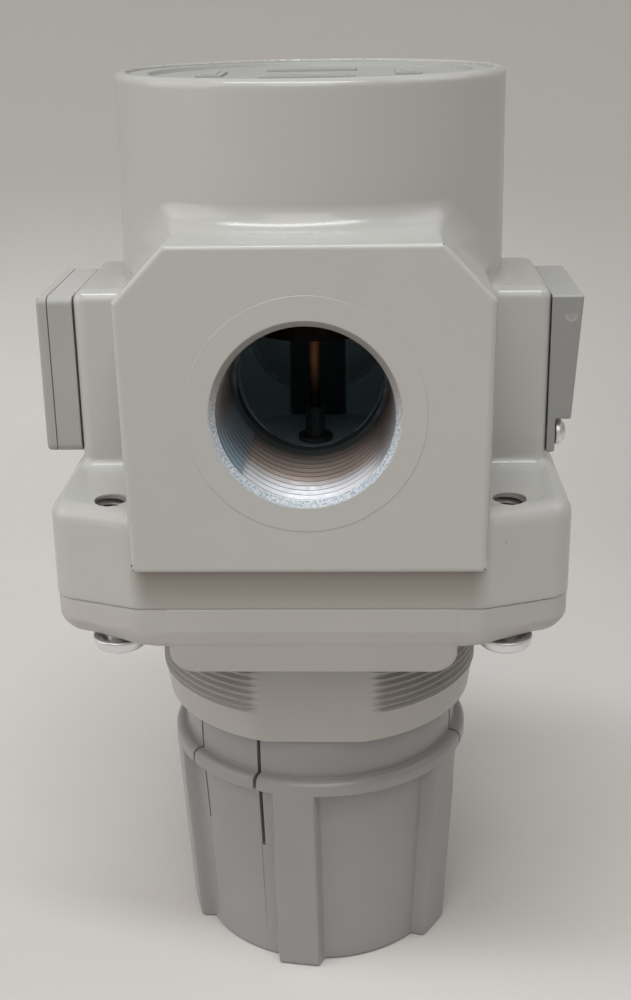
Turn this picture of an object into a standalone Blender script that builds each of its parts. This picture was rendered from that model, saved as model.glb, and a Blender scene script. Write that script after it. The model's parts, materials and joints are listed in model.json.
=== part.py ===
"""Compressed air pressure regulator with 1 inch ports, knob downwards, as separate pieces.

The main axis is Z and the knob's end face is at z = 0. Air flows along Y, through the front port at
-Y and the rear port at +Y. The pressure gauge is on -X and the blanking cover on +X.
All dimensions below are in millimetres. Meshes are scaled to metres as they are made.
"""
import math

import bmesh
import bpy
from mathutils import Matrix, Vector

MM = 0.001
GAP = 0.3                     # clearance between pieces that touch

# Heights along the main axis, from the knob's end face
PORT_Z = 130.0                # centre of both ports
TOP_Z = 186.2                 # rim of the cylinder
FLANGE_TOP_Z = 111.1
PARTING_Z = 92.2              # joint between body and bonnet
BONNET_FLANGE_Z = 84.0        # underside of the bonnet's flange
SKIRT_Z = 78.3                # lower edge of the bonnet's front and rear tabs
NECK_Z = 56.4                 # lower rim of the bonnet's neck
LIP_TOP_Z = 47.2              # knob's lip
LIP_BOTTOM_Z = 44.0
COLLAR_Z = 60.0               # upper end of the knob's collar, inside the neck

# Body
CYLINDER_R = 37.6
CYLINDER_DRAFT = 0.5
PLUG_BORE_R = 35.3
BLOCK_HALF_LENGTH = 47.5      # port faces, 95 mm apart
BLOCK_HALF_WIDTH = 33.1
BLOCK_BOTTOM_HALF_WIDTH = 32.4
BLOCK_BOTTOM_Z = 100.6
BLOCK_TOP_Z = 160.2
BLOCK_CHAMFER_Z = 150.3
BLOCK_TOP_HALF_WIDTH = 23.7
PAD_X = 46.1
PAD_HALF_WIDTH = 16.8
PAD_TOP_Z = 146.4
FLANGE_X = 49.0
FLANGE_Y = 45.2
FLANGE_FLAT = 32.2            # half width of the flange's front and rear flats
FLANGE_SLANT = math.radians(20.5)
FLANGE_CORNER_R = 6.5
SCREW_XY = 37.1               # M6 screws at the four corners
SCREW_R = 3.0
SCREW_HOLE_R = 3.3
SCREW_HEAD_R = 5.25
SCREW_END_Z = 104.0

# Ports, 1 inch pipe thread: 15.85 at the mouth, tapering 1 in 16 on the diameter
PORT_CHAMFER_R = 17.0
PORT_THREAD_R = 15.85
PORT_THREAD_END_R = 15.1
PORT_THREAD_LENGTH = 25.0
PORT_CORE_R = 14.2
OUTLET_END_Y = 19.0           # inner end of the front bore
INLET_END_Y = 22.5            # inner end of the rear bore

# Chambers
OUTLET_R = 20.0
OUTLET_FLOOR_Z = 111.0
WEB_Z = 135.5
WEB_TOP_Z = 138.5
INLET_R = 17.0
SHOULDER_Z = 171.7            # valve guide rests above this
GAUGE_PORT_R = 5.3
GAUGE_PORT_FLOOR_X = 39.0
GAUGE_Z = 129.3
GUIDE_SLEEVE_R = 8.6          # sleeve of the valve guide, around the valve's stem
VALVE_R = 13.0
STEM_R = 1.0

# Bonnet and what is inside it
NECK_R = 34.2
NECK_FLAT_Y = 31.2
NECK_RIM_R = 33.0
TUBE_R = 26.0                 # inner tube that the knob slides on
TUBE_BORE_R = 23.0
TUBE_END_Z = 38.0
THRUST_Z = 41.0               # floor of the tube, that the adjusting screw bears on
POCKET_R = 30.5               # ring-shaped pocket for the knob's collar
POCKET_TOP_Z = 70.0
TAB_HALF_WIDTH = 27.1
TAB_Y = 43.6

# Knob
KNOB_R = 27.3                 # panels, at the end face
KNOB_TOP_R = 29.9             # panels, under the lip
RIB_R = 29.8
RIB_TOP_R = 32.4
COLLAR_R = 30.0
KNOB_BORE_R = 27.3
RIBS = (-74.5, -8.5, 59.0, 115.5, 172.0, 228.5)    # degrees from -Y towards +X, in order
RIB_HALF_ANGLE = 7.6
RIB_FOOT_ANGLE = 10.4
FINGER_SLITS = (-55.3, -23.3, 72.0, 100.0, 184.7, 216.7)
SLIT_WIDTH = 0.8
HEX_FLATS = 12.0              # drive between knob and adjusting screw
HEX_BOSS_Z = 29.0

# Gauge and cover
GAUGE_HALF = 15.7
GAUGE_X = 53.5
COVER_X = 52.5
COVER_STEP_Z = 119.8
COVER_FOOT_X = 48.0
COVER_SCREW_Y = 12.3
COVER_SCREW_Z = 116.4

COLOURS = {                   # red, green, blue, metallic, roughness
    "body_paint": (0.70, 0.71, 0.67, 0.0, 0.35),
    "bonnet_plastic": (0.66, 0.64, 0.60, 0.0, 0.45),
    "knob_plastic": (0.36, 0.38, 0.38, 0.0, 0.45),
    "gauge_plastic": (0.34, 0.35, 0.34, 0.0, 0.45),
    "zinc_steel": (0.62, 0.63, 0.64, 1.0, 0.3),
    "spring_steel": (0.45, 0.45, 0.47, 1.0, 0.35),
    "brass": (0.72, 0.52, 0.26, 1.0, 0.3),
    "aluminium": (0.75, 0.76, 0.78, 1.0, 0.35),
    "rubber": (0.03, 0.03, 0.03, 0.0, 0.6),
    "orange_plastic": (0.85, 0.24, 0.04, 0.0, 0.4),
    "dial_paint": (0.9, 0.9, 0.88, 0.0, 0.4),
    "pointer_paint": (0.04, 0.04, 0.04, 0.0, 0.4),
    "window": (0.85, 0.9, 0.9, 0.0, 0.05),
    "guide_plastic": (0.66, 0.67, 0.64, 0.0, 0.45),
}


# ---------------------------------------------------------------- mesh helpers

def clear_scene():
    for obj in list(bpy.data.objects):
        bpy.data.objects.remove(obj, do_unlink=True)


def material(name):
    """The Principled material of one finish, made the first time it is asked for."""
    found = bpy.data.materials.get(name)
    if found:
        return found
    red, green, blue, metallic, roughness = COLOURS[name]
    made = bpy.data.materials.new(name)
    made.use_nodes = True
    shader = made.node_tree.nodes["Principled BSDF"]
    shader.inputs["Base Color"].default_value = (red, green, blue, 1.0)
    shader.inputs["Metallic"].default_value = metallic
    shader.inputs["Roughness"].default_value = roughness
    return made


def rounded(corners, radius, steps=3):
    """An outline whose corners are replaced by arcs. radius is one number or one for each corner."""
    outline = []
    count = len(corners)
    for i, corner in enumerate(corners):
        r = radius[i] if isinstance(radius, (list, tuple)) else radius
        here = Vector(corner)
        before = (Vector(corners[i - 1]) - here).normalized()
        after = (Vector(corners[(i + 1) % count]) - here).normalized()
        if r == 0:
            outline.append(tuple(here))
            continue
        half = before.angle(after) / 2
        middle = here + (before + after).normalized() * (r / math.sin(half))
        first = here + before * (r / math.tan(half)) - middle
        last = here + after * (r / math.tan(half)) - middle
        sweep = first.angle_signed(last)
        for k in range(steps + 1):
            spoke = first.copy()
            spoke.rotate(Matrix.Rotation(-sweep * k / steps, 2))
            outline.append(tuple(middle + spoke))
    return outline


def loft(rings):
    """A closed body through rings of points. Each ring has the same count of points."""
    bm = bmesh.new()
    loops = [[bm.verts.new(point) for point in ring] for ring in rings]
    count = len(loops[0])
    for low, high in zip(loops, loops[1:]):
        for i in range(count):
            j = (i + 1) % count
            bm.faces.new((low[i], low[j], high[j], high[i]))
    bm.faces.new(list(reversed(loops[0])))
    bm.faces.new(loops[-1])
    return tidy(bm)


def tidy(bm):
    bmesh.ops.remove_doubles(bm, verts=bm.verts, dist=1e-4)
    bmesh.ops.dissolve_degenerate(bm, edges=bm.edges, dist=1e-4)
    bmesh.ops.recalc_face_normals(bm, faces=bm.faces)
    return bm


def prism(outline, low, high):
    """An outline in X and Y, extruded along Z."""
    return loft([[(x, y, z) for x, y in outline] for z in (low, high)])


def box(low, high):
    outline = ((low[0], low[1]), (high[0], low[1]), (high[0], high[1]), (low[0], high[1]))
    return prism(outline, low[2], high[2])


def turned(profile, segments=24):
    """A body turned about Z from a closed profile of (radius, z). Points on the axis are allowed."""
    bm = bmesh.new()
    rings = []
    for radius, z in profile:
        if radius == 0:
            rings.append([bm.verts.new((0, 0, z))] * segments)
            continue
        ring = []
        for i in range(segments):
            angle = 2 * math.pi * i / segments
            ring.append(bm.verts.new((radius * math.cos(angle), radius * math.sin(angle), z)))
        rings.append(ring)
    pairs = list(zip(rings, rings[1:]))
    if profile[0][0] != 0:
        pairs.append((rings[-1], rings[0]))
    for first, second in pairs:
        for i in range(segments):
            j = (i + 1) % segments
            corners = []
            for vert in (first[i], first[j], second[j], second[i]):
                if vert not in corners:
                    corners.append(vert)
            if len(corners) > 2:
                bm.faces.new(corners)
    return tidy(bm)


def rod(radius, low, high, segments=16):
    return turned([(0, low), (radius, low), (radius, high), (0, high)], segments)


def ring(inner, outer, low, high, segments=24):
    return turned([(inner, low), (outer, low), (outer, high), (inner, high)], segments)


def o_ring(radius, thickness, z, segments=20, sides=5):
    section = [(radius + thickness / 2 * math.cos(a), z + thickness / 2 * math.sin(a))
               for a in (2 * math.pi * k / sides for k in range(sides))]
    return turned(section, segments)


def coil(radius, wire_r, low, high, turns, per_turn=11, sides=5):
    """A compression spring whose end turns lie flat."""
    steps = int(turns * per_turn)
    bottom = low + wire_r
    rise = high - low - 2 * wire_r
    rings = []
    for i in range(steps + 1):
        t = i / steps
        angle = 2 * math.pi * turns * t
        flat = 0.75 / turns
        height = min(max((t - flat) / (1 - 2 * flat), 0.0), 1.0)
        # the flat turn at each end drops by the wire's own thickness, so turns stay apart
        z = bottom + 2.2 * wire_r * min(t / flat, 1.0) + (rise - 4.4 * wire_r) * height
        z += 2.2 * wire_r * max((t - 1 + flat) / flat, 0.0)
        section = []
        for k in range(sides):
            a = 2 * math.pi * k / sides
            r = radius + wire_r * math.cos(a)
            section.append((r * math.cos(angle), r * math.sin(angle), z + wire_r * math.sin(a)))
        rings.append(section)
    return loft(rings)


def bevel(bm, width, steps, wanted):
    """Round the edges whose two end points both satisfy wanted."""
    edges = [e for e in bm.edges if wanted(e.verts[0].co) and wanted(e.verts[1].co)]
    bmesh.ops.bevel(bm, geom=edges, offset=width, offset_type="OFFSET", segments=steps,
                    profile=0.5, affect="EDGES", clamp_overlap=True)
    return tidy(bm)


def turn(bm, axis, degrees):
    bmesh.ops.rotate(bm, verts=bm.verts, cent=(0, 0, 0),
                     matrix=Matrix.Rotation(math.radians(degrees), 3, axis))
    return bm


def move(bm, x=0.0, y=0.0, z=0.0):
    bmesh.ops.translate(bm, verts=bm.verts, vec=(x, y, z))
    return bm


def make(name, bm, finish, origin=(0, 0, 0), parent=None):
    """One named object, in metres, with its own origin and material."""
    move(bm, *(-c for c in origin))
    bmesh.ops.scale(bm, verts=bm.verts, vec=(MM, MM, MM))
    mesh = bpy.data.meshes.new(name)
    bm.to_mesh(mesh)
    bm.free()
    obj = bpy.data.objects.new(name, mesh)
    bpy.context.scene.collection.objects.link(obj)
    obj.location = Vector(origin) * MM
    mesh.materials.append(material(finish))
    shade(mesh)
    if parent:
        obj.parent = parent
        obj.matrix_parent_inverse = Matrix.Translation(-parent.location)
    return obj


def shade(mesh):
    mesh.shade_smooth()
    mesh.set_sharp_from_angle(angle=math.radians(32))


def combine(obj, bm, operation):
    """Add a shape to an object, or cut it away. The shape is in millimetres, in world axes."""
    tool = make("tool", bm, "aluminium")
    change = obj.modifiers.new(operation, "BOOLEAN")
    change.operation = operation
    change.object = tool
    change.solver = "EXACT"
    bpy.context.view_layer.update()
    result = bpy.data.meshes.new_from_object(obj.evaluated_get(bpy.context.evaluated_depsgraph_get()))
    obj.modifiers.remove(change)
    obj.data = result
    bpy.data.objects.remove(tool, do_unlink=True)
    while len(result.materials) > 1:
        result.materials.pop()
    shade(result)


def add(obj, bm):
    combine(obj, bm, "UNION")


def cut(obj, bm):
    combine(obj, bm, "DIFFERENCE")


def axis_empty(name, location):
    empty = bpy.data.objects.new(name, None)
    empty.location = Vector(location) * MM
    empty.empty_display_size = 10 * MM
    bpy.context.scene.collection.objects.link(empty)
    return empty


def corners():
    return [(x * SCREW_XY, y * SCREW_XY) for y in (-1, 1) for x in (-1, 1)]


def flange_outline(inset=0.0):
    """Plan of the flange that the body and the bonnet share."""
    x, y = FLANGE_X - inset, FLANGE_Y - inset
    slant = (x - FLANGE_FLAT) * math.tan(FLANGE_SLANT)
    quarter = [(FLANGE_FLAT, -y), (x, -y + slant)]
    points = quarter + [(px, -py) for px, py in reversed(quarter)]
    points += [(-px, -py) for px, py in quarter] + [(-px, py) for px, py in reversed(quarter)]
    radii = [0, FLANGE_CORNER_R] + [FLANGE_CORNER_R, 0] + [0, FLANGE_CORNER_R] + [FLANGE_CORNER_R, 0]
    return rounded(points, radii, 4)


# ---------------------------------------------------------------- body

def port_cutter(end_y):
    """A port's bore along -Y: chamfer, thread and core, for the front port."""
    face = BLOCK_HALF_LENGTH
    profile = [(0, face + 2), (PORT_CHAMFER_R + 2, face + 2), (PORT_CHAMFER_R, face),
               (PORT_THREAD_R, face - 1.2), (PORT_THREAD_END_R, face - PORT_THREAD_LENGTH),
               (PORT_CORE_R, face - PORT_THREAD_LENGTH), (PORT_CORE_R, end_y), (0, end_y)]
    if end_y > face - PORT_THREAD_LENGTH - 0.1:
        profile = profile[:4] + [(PORT_THREAD_END_R, end_y), (0, end_y)]
    return move(turn(turned(profile, 32), "X", 90), z=PORT_Z)


def make_body():
    cylinder = turned([(0, 100.0), (CYLINDER_R + CYLINDER_DRAFT, 100.0), (CYLINDER_R, TOP_Z - 2.0),
                       (CYLINDER_R - 0.5, TOP_Z - 0.7), (CYLINDER_R - 1.6, TOP_Z), (0, TOP_Z)], 48)
    body = make("body", cylinder, "body_paint")

    face = [(-BLOCK_BOTTOM_HALF_WIDTH, BLOCK_BOTTOM_Z), (BLOCK_BOTTOM_HALF_WIDTH, BLOCK_BOTTOM_Z),
            (BLOCK_HALF_WIDTH, BLOCK_CHAMFER_Z), (BLOCK_TOP_HALF_WIDTH, BLOCK_TOP_Z),
            (-BLOCK_TOP_HALF_WIDTH, BLOCK_TOP_Z), (-BLOCK_HALF_WIDTH, BLOCK_CHAMFER_Z)]
    half = BLOCK_HALF_LENGTH
    block = loft([[(x, y, z) for x, z in face] for y in (half, -half)])
    bevel(block, 1.2, 2, lambda p: abs(p.y) > half - 0.1)
    add(body, block)

    pads = box((-PAD_X, -PAD_HALF_WIDTH, 105.0), (PAD_X, PAD_HALF_WIDTH, PAD_TOP_Z))
    bevel(pads, 2.5, 3, lambda p: p.z > PAD_TOP_Z - 0.1)
    bevel(pads, 2.0, 2, lambda p: abs(p.x) > PAD_X - 0.1 and abs(p.y) > PAD_HALF_WIDTH - 0.1)
    add(body, pads)

    flange = prism(flange_outline(), PARTING_Z + GAP / 2, FLANGE_TOP_Z)
    bevel(flange, 3.5, 3, lambda p: p.z > FLANGE_TOP_Z - 0.1)
    add(body, flange)

    cut_chambers(body)
    cut_ports(body)
    for x, y in corners():
        cut(body, move(rod(SCREW_HOLE_R, PARTING_Z - 2, FLANGE_TOP_Z + 2, 12), x, y))
    return body


def cut_chambers(body):
    under = PARTING_Z - 2
    cut(body, turned([(0, under), (40.3, under), (40.3, 94.7), (36.5, 94.7), (36.0, 96.5), (30.0, 99.0),
                      (0, 99.0)], 32))
    cut(body, rod(OUTLET_R, OUTLET_FLOOR_Z, WEB_Z, 24))
    stem_hole = rod(2.3, 98.0, OUTLET_FLOOR_Z + 1, 16)
    feedback_hole = move(rod(1.3, 98.0, OUTLET_FLOOR_Z + 1, 8), 9.0, 9.0)
    cut(body, stem_hole)
    cut(body, feedback_hole)
    cut(body, turned([(0, WEB_Z - 1), (13.0, WEB_Z - 1), (13.0, WEB_TOP_Z), (INLET_R, WEB_TOP_Z),
                      (INLET_R, 158.0), (27.0, 164.0), (27.0, SHOULDER_Z), (PLUG_BORE_R, SHOULDER_Z),
                      (PLUG_BORE_R, TOP_Z + 2), (0, TOP_Z + 2)], 32))


def cut_ports(body):
    cut(body, port_cutter(OUTLET_END_Y))
    cut(body, turn(port_cutter(INLET_END_Y), "Z", 180))
    cut(body, box((-12.5, 1.0, WEB_TOP_Z + 0.02), (12.5, INLET_END_Y + 3, 150.0)))
    for side in (-1, 1):
        gauge_port = turned([(0, 15.0), (2.2, 15.0), (2.2, GAUGE_PORT_FLOOR_X),
                             (GAUGE_PORT_R, GAUGE_PORT_FLOOR_X), (GAUGE_PORT_R, PAD_X + 2),
                             (0, PAD_X + 2)], 16)
        cut(body, move(turn(gauge_port, "Y", 90 * side), z=GAUGE_Z))
    for y in (-COVER_SCREW_Y, COVER_SCREW_Y):
        cut(body, move(turn(rod(1.8, 36.0, PAD_X + 2, 12), "Y", 90), 0, y, COVER_SCREW_Z))


# ---------------------------------------------------------------- valve and its guide

def make_valve_guide():
    plate_top = TOP_Z - 0.5
    groove_r = 32.2
    rim_r = PLUG_BORE_R - GAP
    profile = [(0, 176.0), (7.4, 176.0), (7.4, 150.0), (GUIDE_SLEEVE_R, 150.0),
               (GUIDE_SLEEVE_R, SHOULDER_Z + GAP),
               (rim_r, SHOULDER_Z + GAP), (rim_r, 175.0), (groove_r, 175.0), (groove_r, 178.2),
               (rim_r, 178.2),
               (rim_r, plate_top), (31.0, plate_top), (30.2, plate_top - 0.8), (0, plate_top - 0.8)]
    guide = turned(profile, 32)
    guide = make("valve_guide", guide, "guide_plastic")
    for x, y, length, width in ((0, 12, 18, 5), (0, -12, 18, 5), (-19, 0, 5, 14), (19, 0, 5, 14)):
        low = (x - length / 2, y - width / 2, plate_top - 2.0)
        high = (x + length / 2, y + width / 2, plate_top)
        add(guide, box(low, high))
    make("valve_guide_o_ring", o_ring(33.6, 2.3, 176.6, 32), "rubber")


def make_valve(parent):
    seat = turned([(9.0, WEB_Z - 0.4), (12.7, WEB_Z - 0.4), (12.7, WEB_TOP_Z + GAP), (14.6, WEB_TOP_Z + GAP),
                   (14.6, WEB_TOP_Z + 1.2), (10.0, WEB_TOP_Z + 1.8), (9.0, WEB_TOP_Z + 1.2)])
    make("valve_seat", seat, "brass")
    base = WEB_TOP_Z + 2.1
    disc = turned([(1.4, base + 0.6), (8.0, base + 0.6), (8.0, base + 2.3), (VALVE_R, base + 2.3),
                   (VALVE_R, base + 4.5), (7.0, base + 4.5), (7.0, 152.5), (5.9, 152.5), (5.9, 154.7),
                   (7.0, 154.7), (7.0, 158.0), (6.0, 159.0), (3.0, 159.0), (3.0, 148.0), (1.4, 148.0)])
    make("valve", disc, "guide_plastic", parent=parent)
    make("valve_seal", ring(8.3, VALVE_R - 0.2, base, base + 2.0, 28), "rubber", parent=parent)
    make("valve_o_ring", o_ring(6.72, 1.0, 153.6), "rubber", parent=parent)
    stem = turned([(0, 92.6), (STEM_R - 0.3, 92.6), (STEM_R, 93.1), (STEM_R, 148.3), (2.6, 148.3),
                   (2.6, 149.5), (0, 149.5)], 16)
    make("valve_stem", stem, "brass", parent=parent)
    make("valve_spring", coil(10.2, 0.8, base + 4.5 + GAP, SHOULDER_Z, 6.0), "spring_steel")
    guide = turned([(1.35, 99.6), (2.0, 99.6), (2.0, OUTLET_FLOOR_Z + GAP), (3.6, OUTLET_FLOOR_Z + GAP),
                    (3.6, OUTLET_FLOOR_Z + 1.3), (2.0, OUTLET_FLOOR_Z + 1.3), (2.0, 117.6), (1.85, 118.3),
                    (1.35, 118.6)], 16)
    make("stem_guide", guide, "aluminium")


# ---------------------------------------------------------------- diaphragm

def make_diaphragm(parent):
    low, high = PARTING_Z - GAP / 2 + GAP, PARTING_Z + 2.2
    dip = 3.6
    profile = [(4.3, low - dip), (27.0, low - dip), (30.0, low - dip - 0.4), (33.0, low), (40.0, low),
               (40.0, high), (33.6, high), (30.5, high - dip), (27.0, high - dip), (4.3, high - dip)]
    make("diaphragm", turned(profile, 32), "rubber")
    top = high - dip + GAP
    washer = ring(4.3, 24.0, top, top + 1.6)
    make("diaphragm_washer", washer, "aluminium", parent=parent)
    under = low - dip - GAP
    plate = turned([(4.3, under - 2.0), (27.5, under - 2.0),
                    (27.5, under - 3.6), (29.0, under - 3.6), (29.0, under), (4.3, under)])
    make("spring_plate", plate, "zinc_steel", parent=parent)
    hub = turned([(1.0, under - 4.2), (6.5, under - 4.2), (6.5, under - 2.3), (4.0, under - 2.3),
                  (4.0, top + 1.9), (5.0, top + 1.9), (5.0, top + 2.9), (2.6, top + 2.9), (2.6, top + 1.2),
                  (1.0, top + 1.2)], 20)
    make("relief_hub", hub, "brass", parent=parent)
    return under - 2.0


# ---------------------------------------------------------------- bonnet

def make_bonnet():
    neck = turned([(0, TUBE_END_Z), (TUBE_R, TUBE_END_Z), (TUBE_R, NECK_Z), (NECK_RIM_R, NECK_Z),
                   (33.8, 62.8), (NECK_R, 63.2), (NECK_R, BONNET_FLANGE_Z + 2), (0, BONNET_FLANGE_Z + 2)], 40)
    bonnet = make("bonnet", neck, "bonnet_plastic")
    for side in (-1, 1):
        low, high = sorted((side * NECK_FLAT_Y, side * (NECK_R + 5)))
        cut(bonnet, box((-40, low, NECK_Z - 2), (40, high, BONNET_FLANGE_Z + 4)))

    top = PARTING_Z - GAP / 2
    crease = 87.7
    outlines = [(flange_outline(3.4), BONNET_FLANGE_Z), (flange_outline(1.6), BONNET_FLANGE_Z + 0.9),
                (flange_outline(0.5), BONNET_FLANGE_Z + 2.2), (flange_outline(), crease),
                (flange_outline(), top)]
    add(bonnet, loft([[(x, y, z) for x, y in outline] for outline, z in outlines]))

    tab = rounded([(-TAB_HALF_WIDTH, SKIRT_Z), (TAB_HALF_WIDTH, SKIRT_Z), (TAB_HALF_WIDTH, 89.0),
                   (-TAB_HALF_WIDTH, 89.0)], [4.0, 4.0, 0, 0], 4)
    for side in (-1, 1):
        ends = (side * 29.0, side * TAB_Y)
        add(bonnet, loft([[(x, y, z) for x, z in tab] for y in ends]))

    cut(bonnet, turned([(0, TUBE_END_Z - 2), (6.6, TUBE_END_Z - 2), (6.6, THRUST_Z), (TUBE_BORE_R, THRUST_Z),
                        (TUBE_BORE_R, 77.0), (31.0, 80.5), (31.0, 86.0), (34.5, 89.5),
                        (34.5, top + 2), (0, top + 2)], 32))
    cut(bonnet, ring(TUBE_R + 0.05, POCKET_R, NECK_Z - 2, POCKET_TOP_Z, 40))
    for side in (-1, 1):
        low, high = sorted((side * 21.6, side * (TUBE_BORE_R + 1.5)))
        add(bonnet, box((low, -2.0, 40.0), (high, 2.0, 76.0)))
    for x, y in corners():
        cut(bonnet, move(rod(SCREW_HOLE_R, BONNET_FLANGE_Z - 4, top + 2, 12), x, y))
    make("unlock_band", ring(TUBE_R + 0.32, TUBE_R + 0.95, 46.0, 55.5), "orange_plastic")


def make_bonnet_screws():
    under = BONNET_FLANGE_Z - GAP
    for i, (x, y) in enumerate(corners(), 1):
        screw = turned([(0, under - 3.3), (SCREW_HEAD_R / 2, under - 3.2), (SCREW_HEAD_R - 1.0, under - 2.6),
                        (SCREW_HEAD_R, under - 1.2), (SCREW_HEAD_R, under), (SCREW_R, under),
                        (SCREW_R, SCREW_END_Z - 0.6), (SCREW_R - 0.6, SCREW_END_Z), (0, SCREW_END_Z)], 14)
        make(f"bonnet_screw_{i}", move(screw, x, y), "zinc_steel", (x, y, 0))


# ---------------------------------------------------------------- adjusting mechanism

def hexagon(across):
    return [(across / math.sqrt(3) * math.cos(math.radians(60 * k)),
             across / math.sqrt(3) * math.sin(math.radians(60 * k))) for k in range(6)]


def make_adjusting_screw(parent):
    washer_low, washer_high = THRUST_Z + GAP, THRUST_Z + GAP + 1.0
    flange_low = washer_high + GAP
    flange_high = flange_low + 2.5
    screw = turned([(0, 14.2), (5.0, 14.2), (5.6, 14.8), (5.6, flange_low), (10.5, flange_low),
                    (10.5, flange_high), (5.6, flange_high), (5.6, 77.0), (4.8, 78.0), (0, 78.0)], 20)
    screw = make("adjusting_screw", screw, "zinc_steel", parent=parent)
    add(screw, prism(hexagon(HEX_FLATS), 14.0, TUBE_END_Z - 1.6))
    make("thrust_washer", ring(6.9, 11.0, washer_low, washer_high, 24), "brass", parent=parent)
    return flange_low + 2.5


def make_adjusting_nut(parent, low):
    nut_r = TUBE_BORE_R - 0.6
    nut = turned([(5.95, low), (9.5, low), (9.5, low + 3.0), (nut_r, low + 3.0), (nut_r, low + 6.0),
                  (11.5, low + 6.0), (11.5, low + 10.0), (5.95, low + 10.0)])
    nut = make("adjusting_nut", nut, "brass", parent=parent)
    for side in (-1, 1):
        low_x, high_x = sorted((side * 21.2, side * 26))
        cut(nut, box((low_x, -2.4, low - 1), (high_x, 2.4, low + 8)))
    return low + 6.0


# ---------------------------------------------------------------- knob

def knob_columns():
    """Azimuths around the knob, with one at every corner of the ribs and of the hexagon."""
    offsets = (-RIB_FOOT_ANGLE, -RIB_HALF_ANGLE, 0.0, RIB_HALF_ANGLE, RIB_FOOT_ANGLE)
    at_ribs = [rib + offset for rib in RIBS for offset in offsets]
    others = [azimuth for azimuth in range(-90, 270, 10)
              if all(abs(azimuth - rib) > RIB_FOOT_ANGLE + 2 for rib in RIBS)]
    return sorted(at_ribs + others)


def knob_point(azimuth, radius, z):
    angle = math.radians(azimuth - 90)
    return (radius * math.cos(angle), radius * math.sin(angle), z)


def make_knob(parent):
    columns = knob_columns()

    def on_rib(azimuth):
        return any(abs(azimuth - rib) < RIB_HALF_ANGLE + 0.1 for rib in RIBS)

    def round_row(radius, z):
        return [knob_point(azimuth, radius, z) for azimuth in columns]

    def ribbed_row(panel, rib, z):
        return [knob_point(azimuth, rib if on_rib(azimuth) else panel, z) for azimuth in columns]

    def hexagon_row(z):
        flat = HEX_FLATS / 2 + GAP
        reach = [flat / math.cos(math.radians((azimuth + 30) % 60 - 30)) for azimuth in columns]
        return [knob_point(azimuth, r, z) for azimuth, r in zip(columns, reach)]

    taper = (KNOB_TOP_R - KNOB_R) / LIP_BOTTOM_Z
    rows = [ribbed_row(KNOB_R - 0.9, RIB_R - 0.9, 0.0),
            ribbed_row(KNOB_R - 0.2, RIB_R - 0.2, 0.3),
            ribbed_row(KNOB_R + taper, RIB_R + taper, 1.0),
            ribbed_row(KNOB_TOP_R, RIB_TOP_R, LIP_BOTTOM_Z),
            round_row(RIB_TOP_R, LIP_BOTTOM_Z),
            round_row(RIB_TOP_R, LIP_TOP_Z - 1.2),
            round_row(RIB_TOP_R - 0.9, LIP_TOP_Z),
            round_row(COLLAR_R + 0.6, LIP_TOP_Z),
            round_row(COLLAR_R, LIP_TOP_Z + 0.8),
            round_row(COLLAR_R, COLLAR_Z),
            round_row(KNOB_BORE_R, COLLAR_Z),
            round_row(KNOB_BORE_R, 28.0),
            round_row(KNOB_R - 2.2, 3.0),
            round_row(10.5, 3.0),
            round_row(10.0, HEX_BOSS_Z),
            hexagon_row(HEX_BOSS_Z),
            hexagon_row(5.0)]
    knob = make("knob", loft(rows), "knob_plastic", parent=parent)

    for azimuth in FINGER_SLITS:
        slit = box((-SLIT_WIDTH / 2, -36, 31.0), (SLIT_WIDTH / 2, -24.5, COLLAR_Z + 2))
        cut(knob, turn(slit, "Z", azimuth))


# ---------------------------------------------------------------- gauge, on the -X pad

def facing_left(bm):
    """Turn a piece that was drawn about +Z, outwards, so that +Z becomes -X at the gauge's centre."""
    return move(turn(bm, "Y", -90), z=GAUGE_Z)


def square(half, corner):
    return rounded([(-half, -half), (half, -half), (half, half), (-half, half)], corner, 3)


def make_gauge():
    back, joint, front = PAD_X + 0.5, 51.2, GAUGE_X
    case = prism(square(GAUGE_HALF, 1.5), back, joint - 0.1)
    case = make("gauge_case", facing_left(case), "gauge_plastic")
    cut(case, facing_left(prism(square(13.8, 1.0), back + 1.2, joint + 1)))
    cut(case, facing_left(rod(5.1, back - 1, back + 3, 24)))

    bezel = prism(square(GAUGE_HALF, 1.5), joint + 0.2, front)
    bevel(bezel, 0.6, 2, lambda p: p.z > front - 0.01)
    bezel = make("gauge_bezel", facing_left(bezel), "gauge_plastic")
    cut(bezel, facing_left(prism(square(13.0, 1.0), joint - 1, front + 1)))
    make("gauge_window", facing_left(prism(square(12.7, 0.8), joint + 0.6, front - 0.5)), "window")

    fitting = turned([(1.0, 41.0), (4.5, 41.0), (4.5, 42.2), (3.4, 42.2), (3.4, 44.0), (4.5, 44.0),
                      (4.5, back + 1.5), (6.2, back + 1.5), (6.2, back + 2.1), (1.0, back + 2.1)], 16)
    make("gauge_fitting", facing_left(fitting), "brass")
    make("gauge_o_ring", facing_left(o_ring(4.35, 1.1, 43.1, 20)), "rubber")

    make("gauge_tube", facing_left(bourdon_tube(back + 2.9)), "brass")
    make("gauge_dial", facing_left(ring(1.1, 13.2, 50.1, 50.35)), "dial_paint")
    axis = axis_empty("pointer_axis", (-50.8, 0, GAUGE_Z))
    tip = math.radians(45)
    arm = [(-0.9, -3.5), (0.9, -3.5), (0.25, 10.5), (-0.25, 10.5)]
    pointer = prism(arm, 50.65, 50.95)
    bmesh.ops.rotate(pointer, verts=pointer.verts, cent=(0, 0, 0), matrix=Matrix.Rotation(tip, 3, "Z"))
    pointer = make("gauge_pointer", facing_left(pointer), "pointer_paint", (-50.8, 0, GAUGE_Z), axis)
    hub = turned([(0, 49.3), (0.7, 49.3), (0.7, 50.6), (1.6, 50.6), (1.6, 51.1), (0, 51.1)], 12)
    add(pointer, facing_left(hub))


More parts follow.
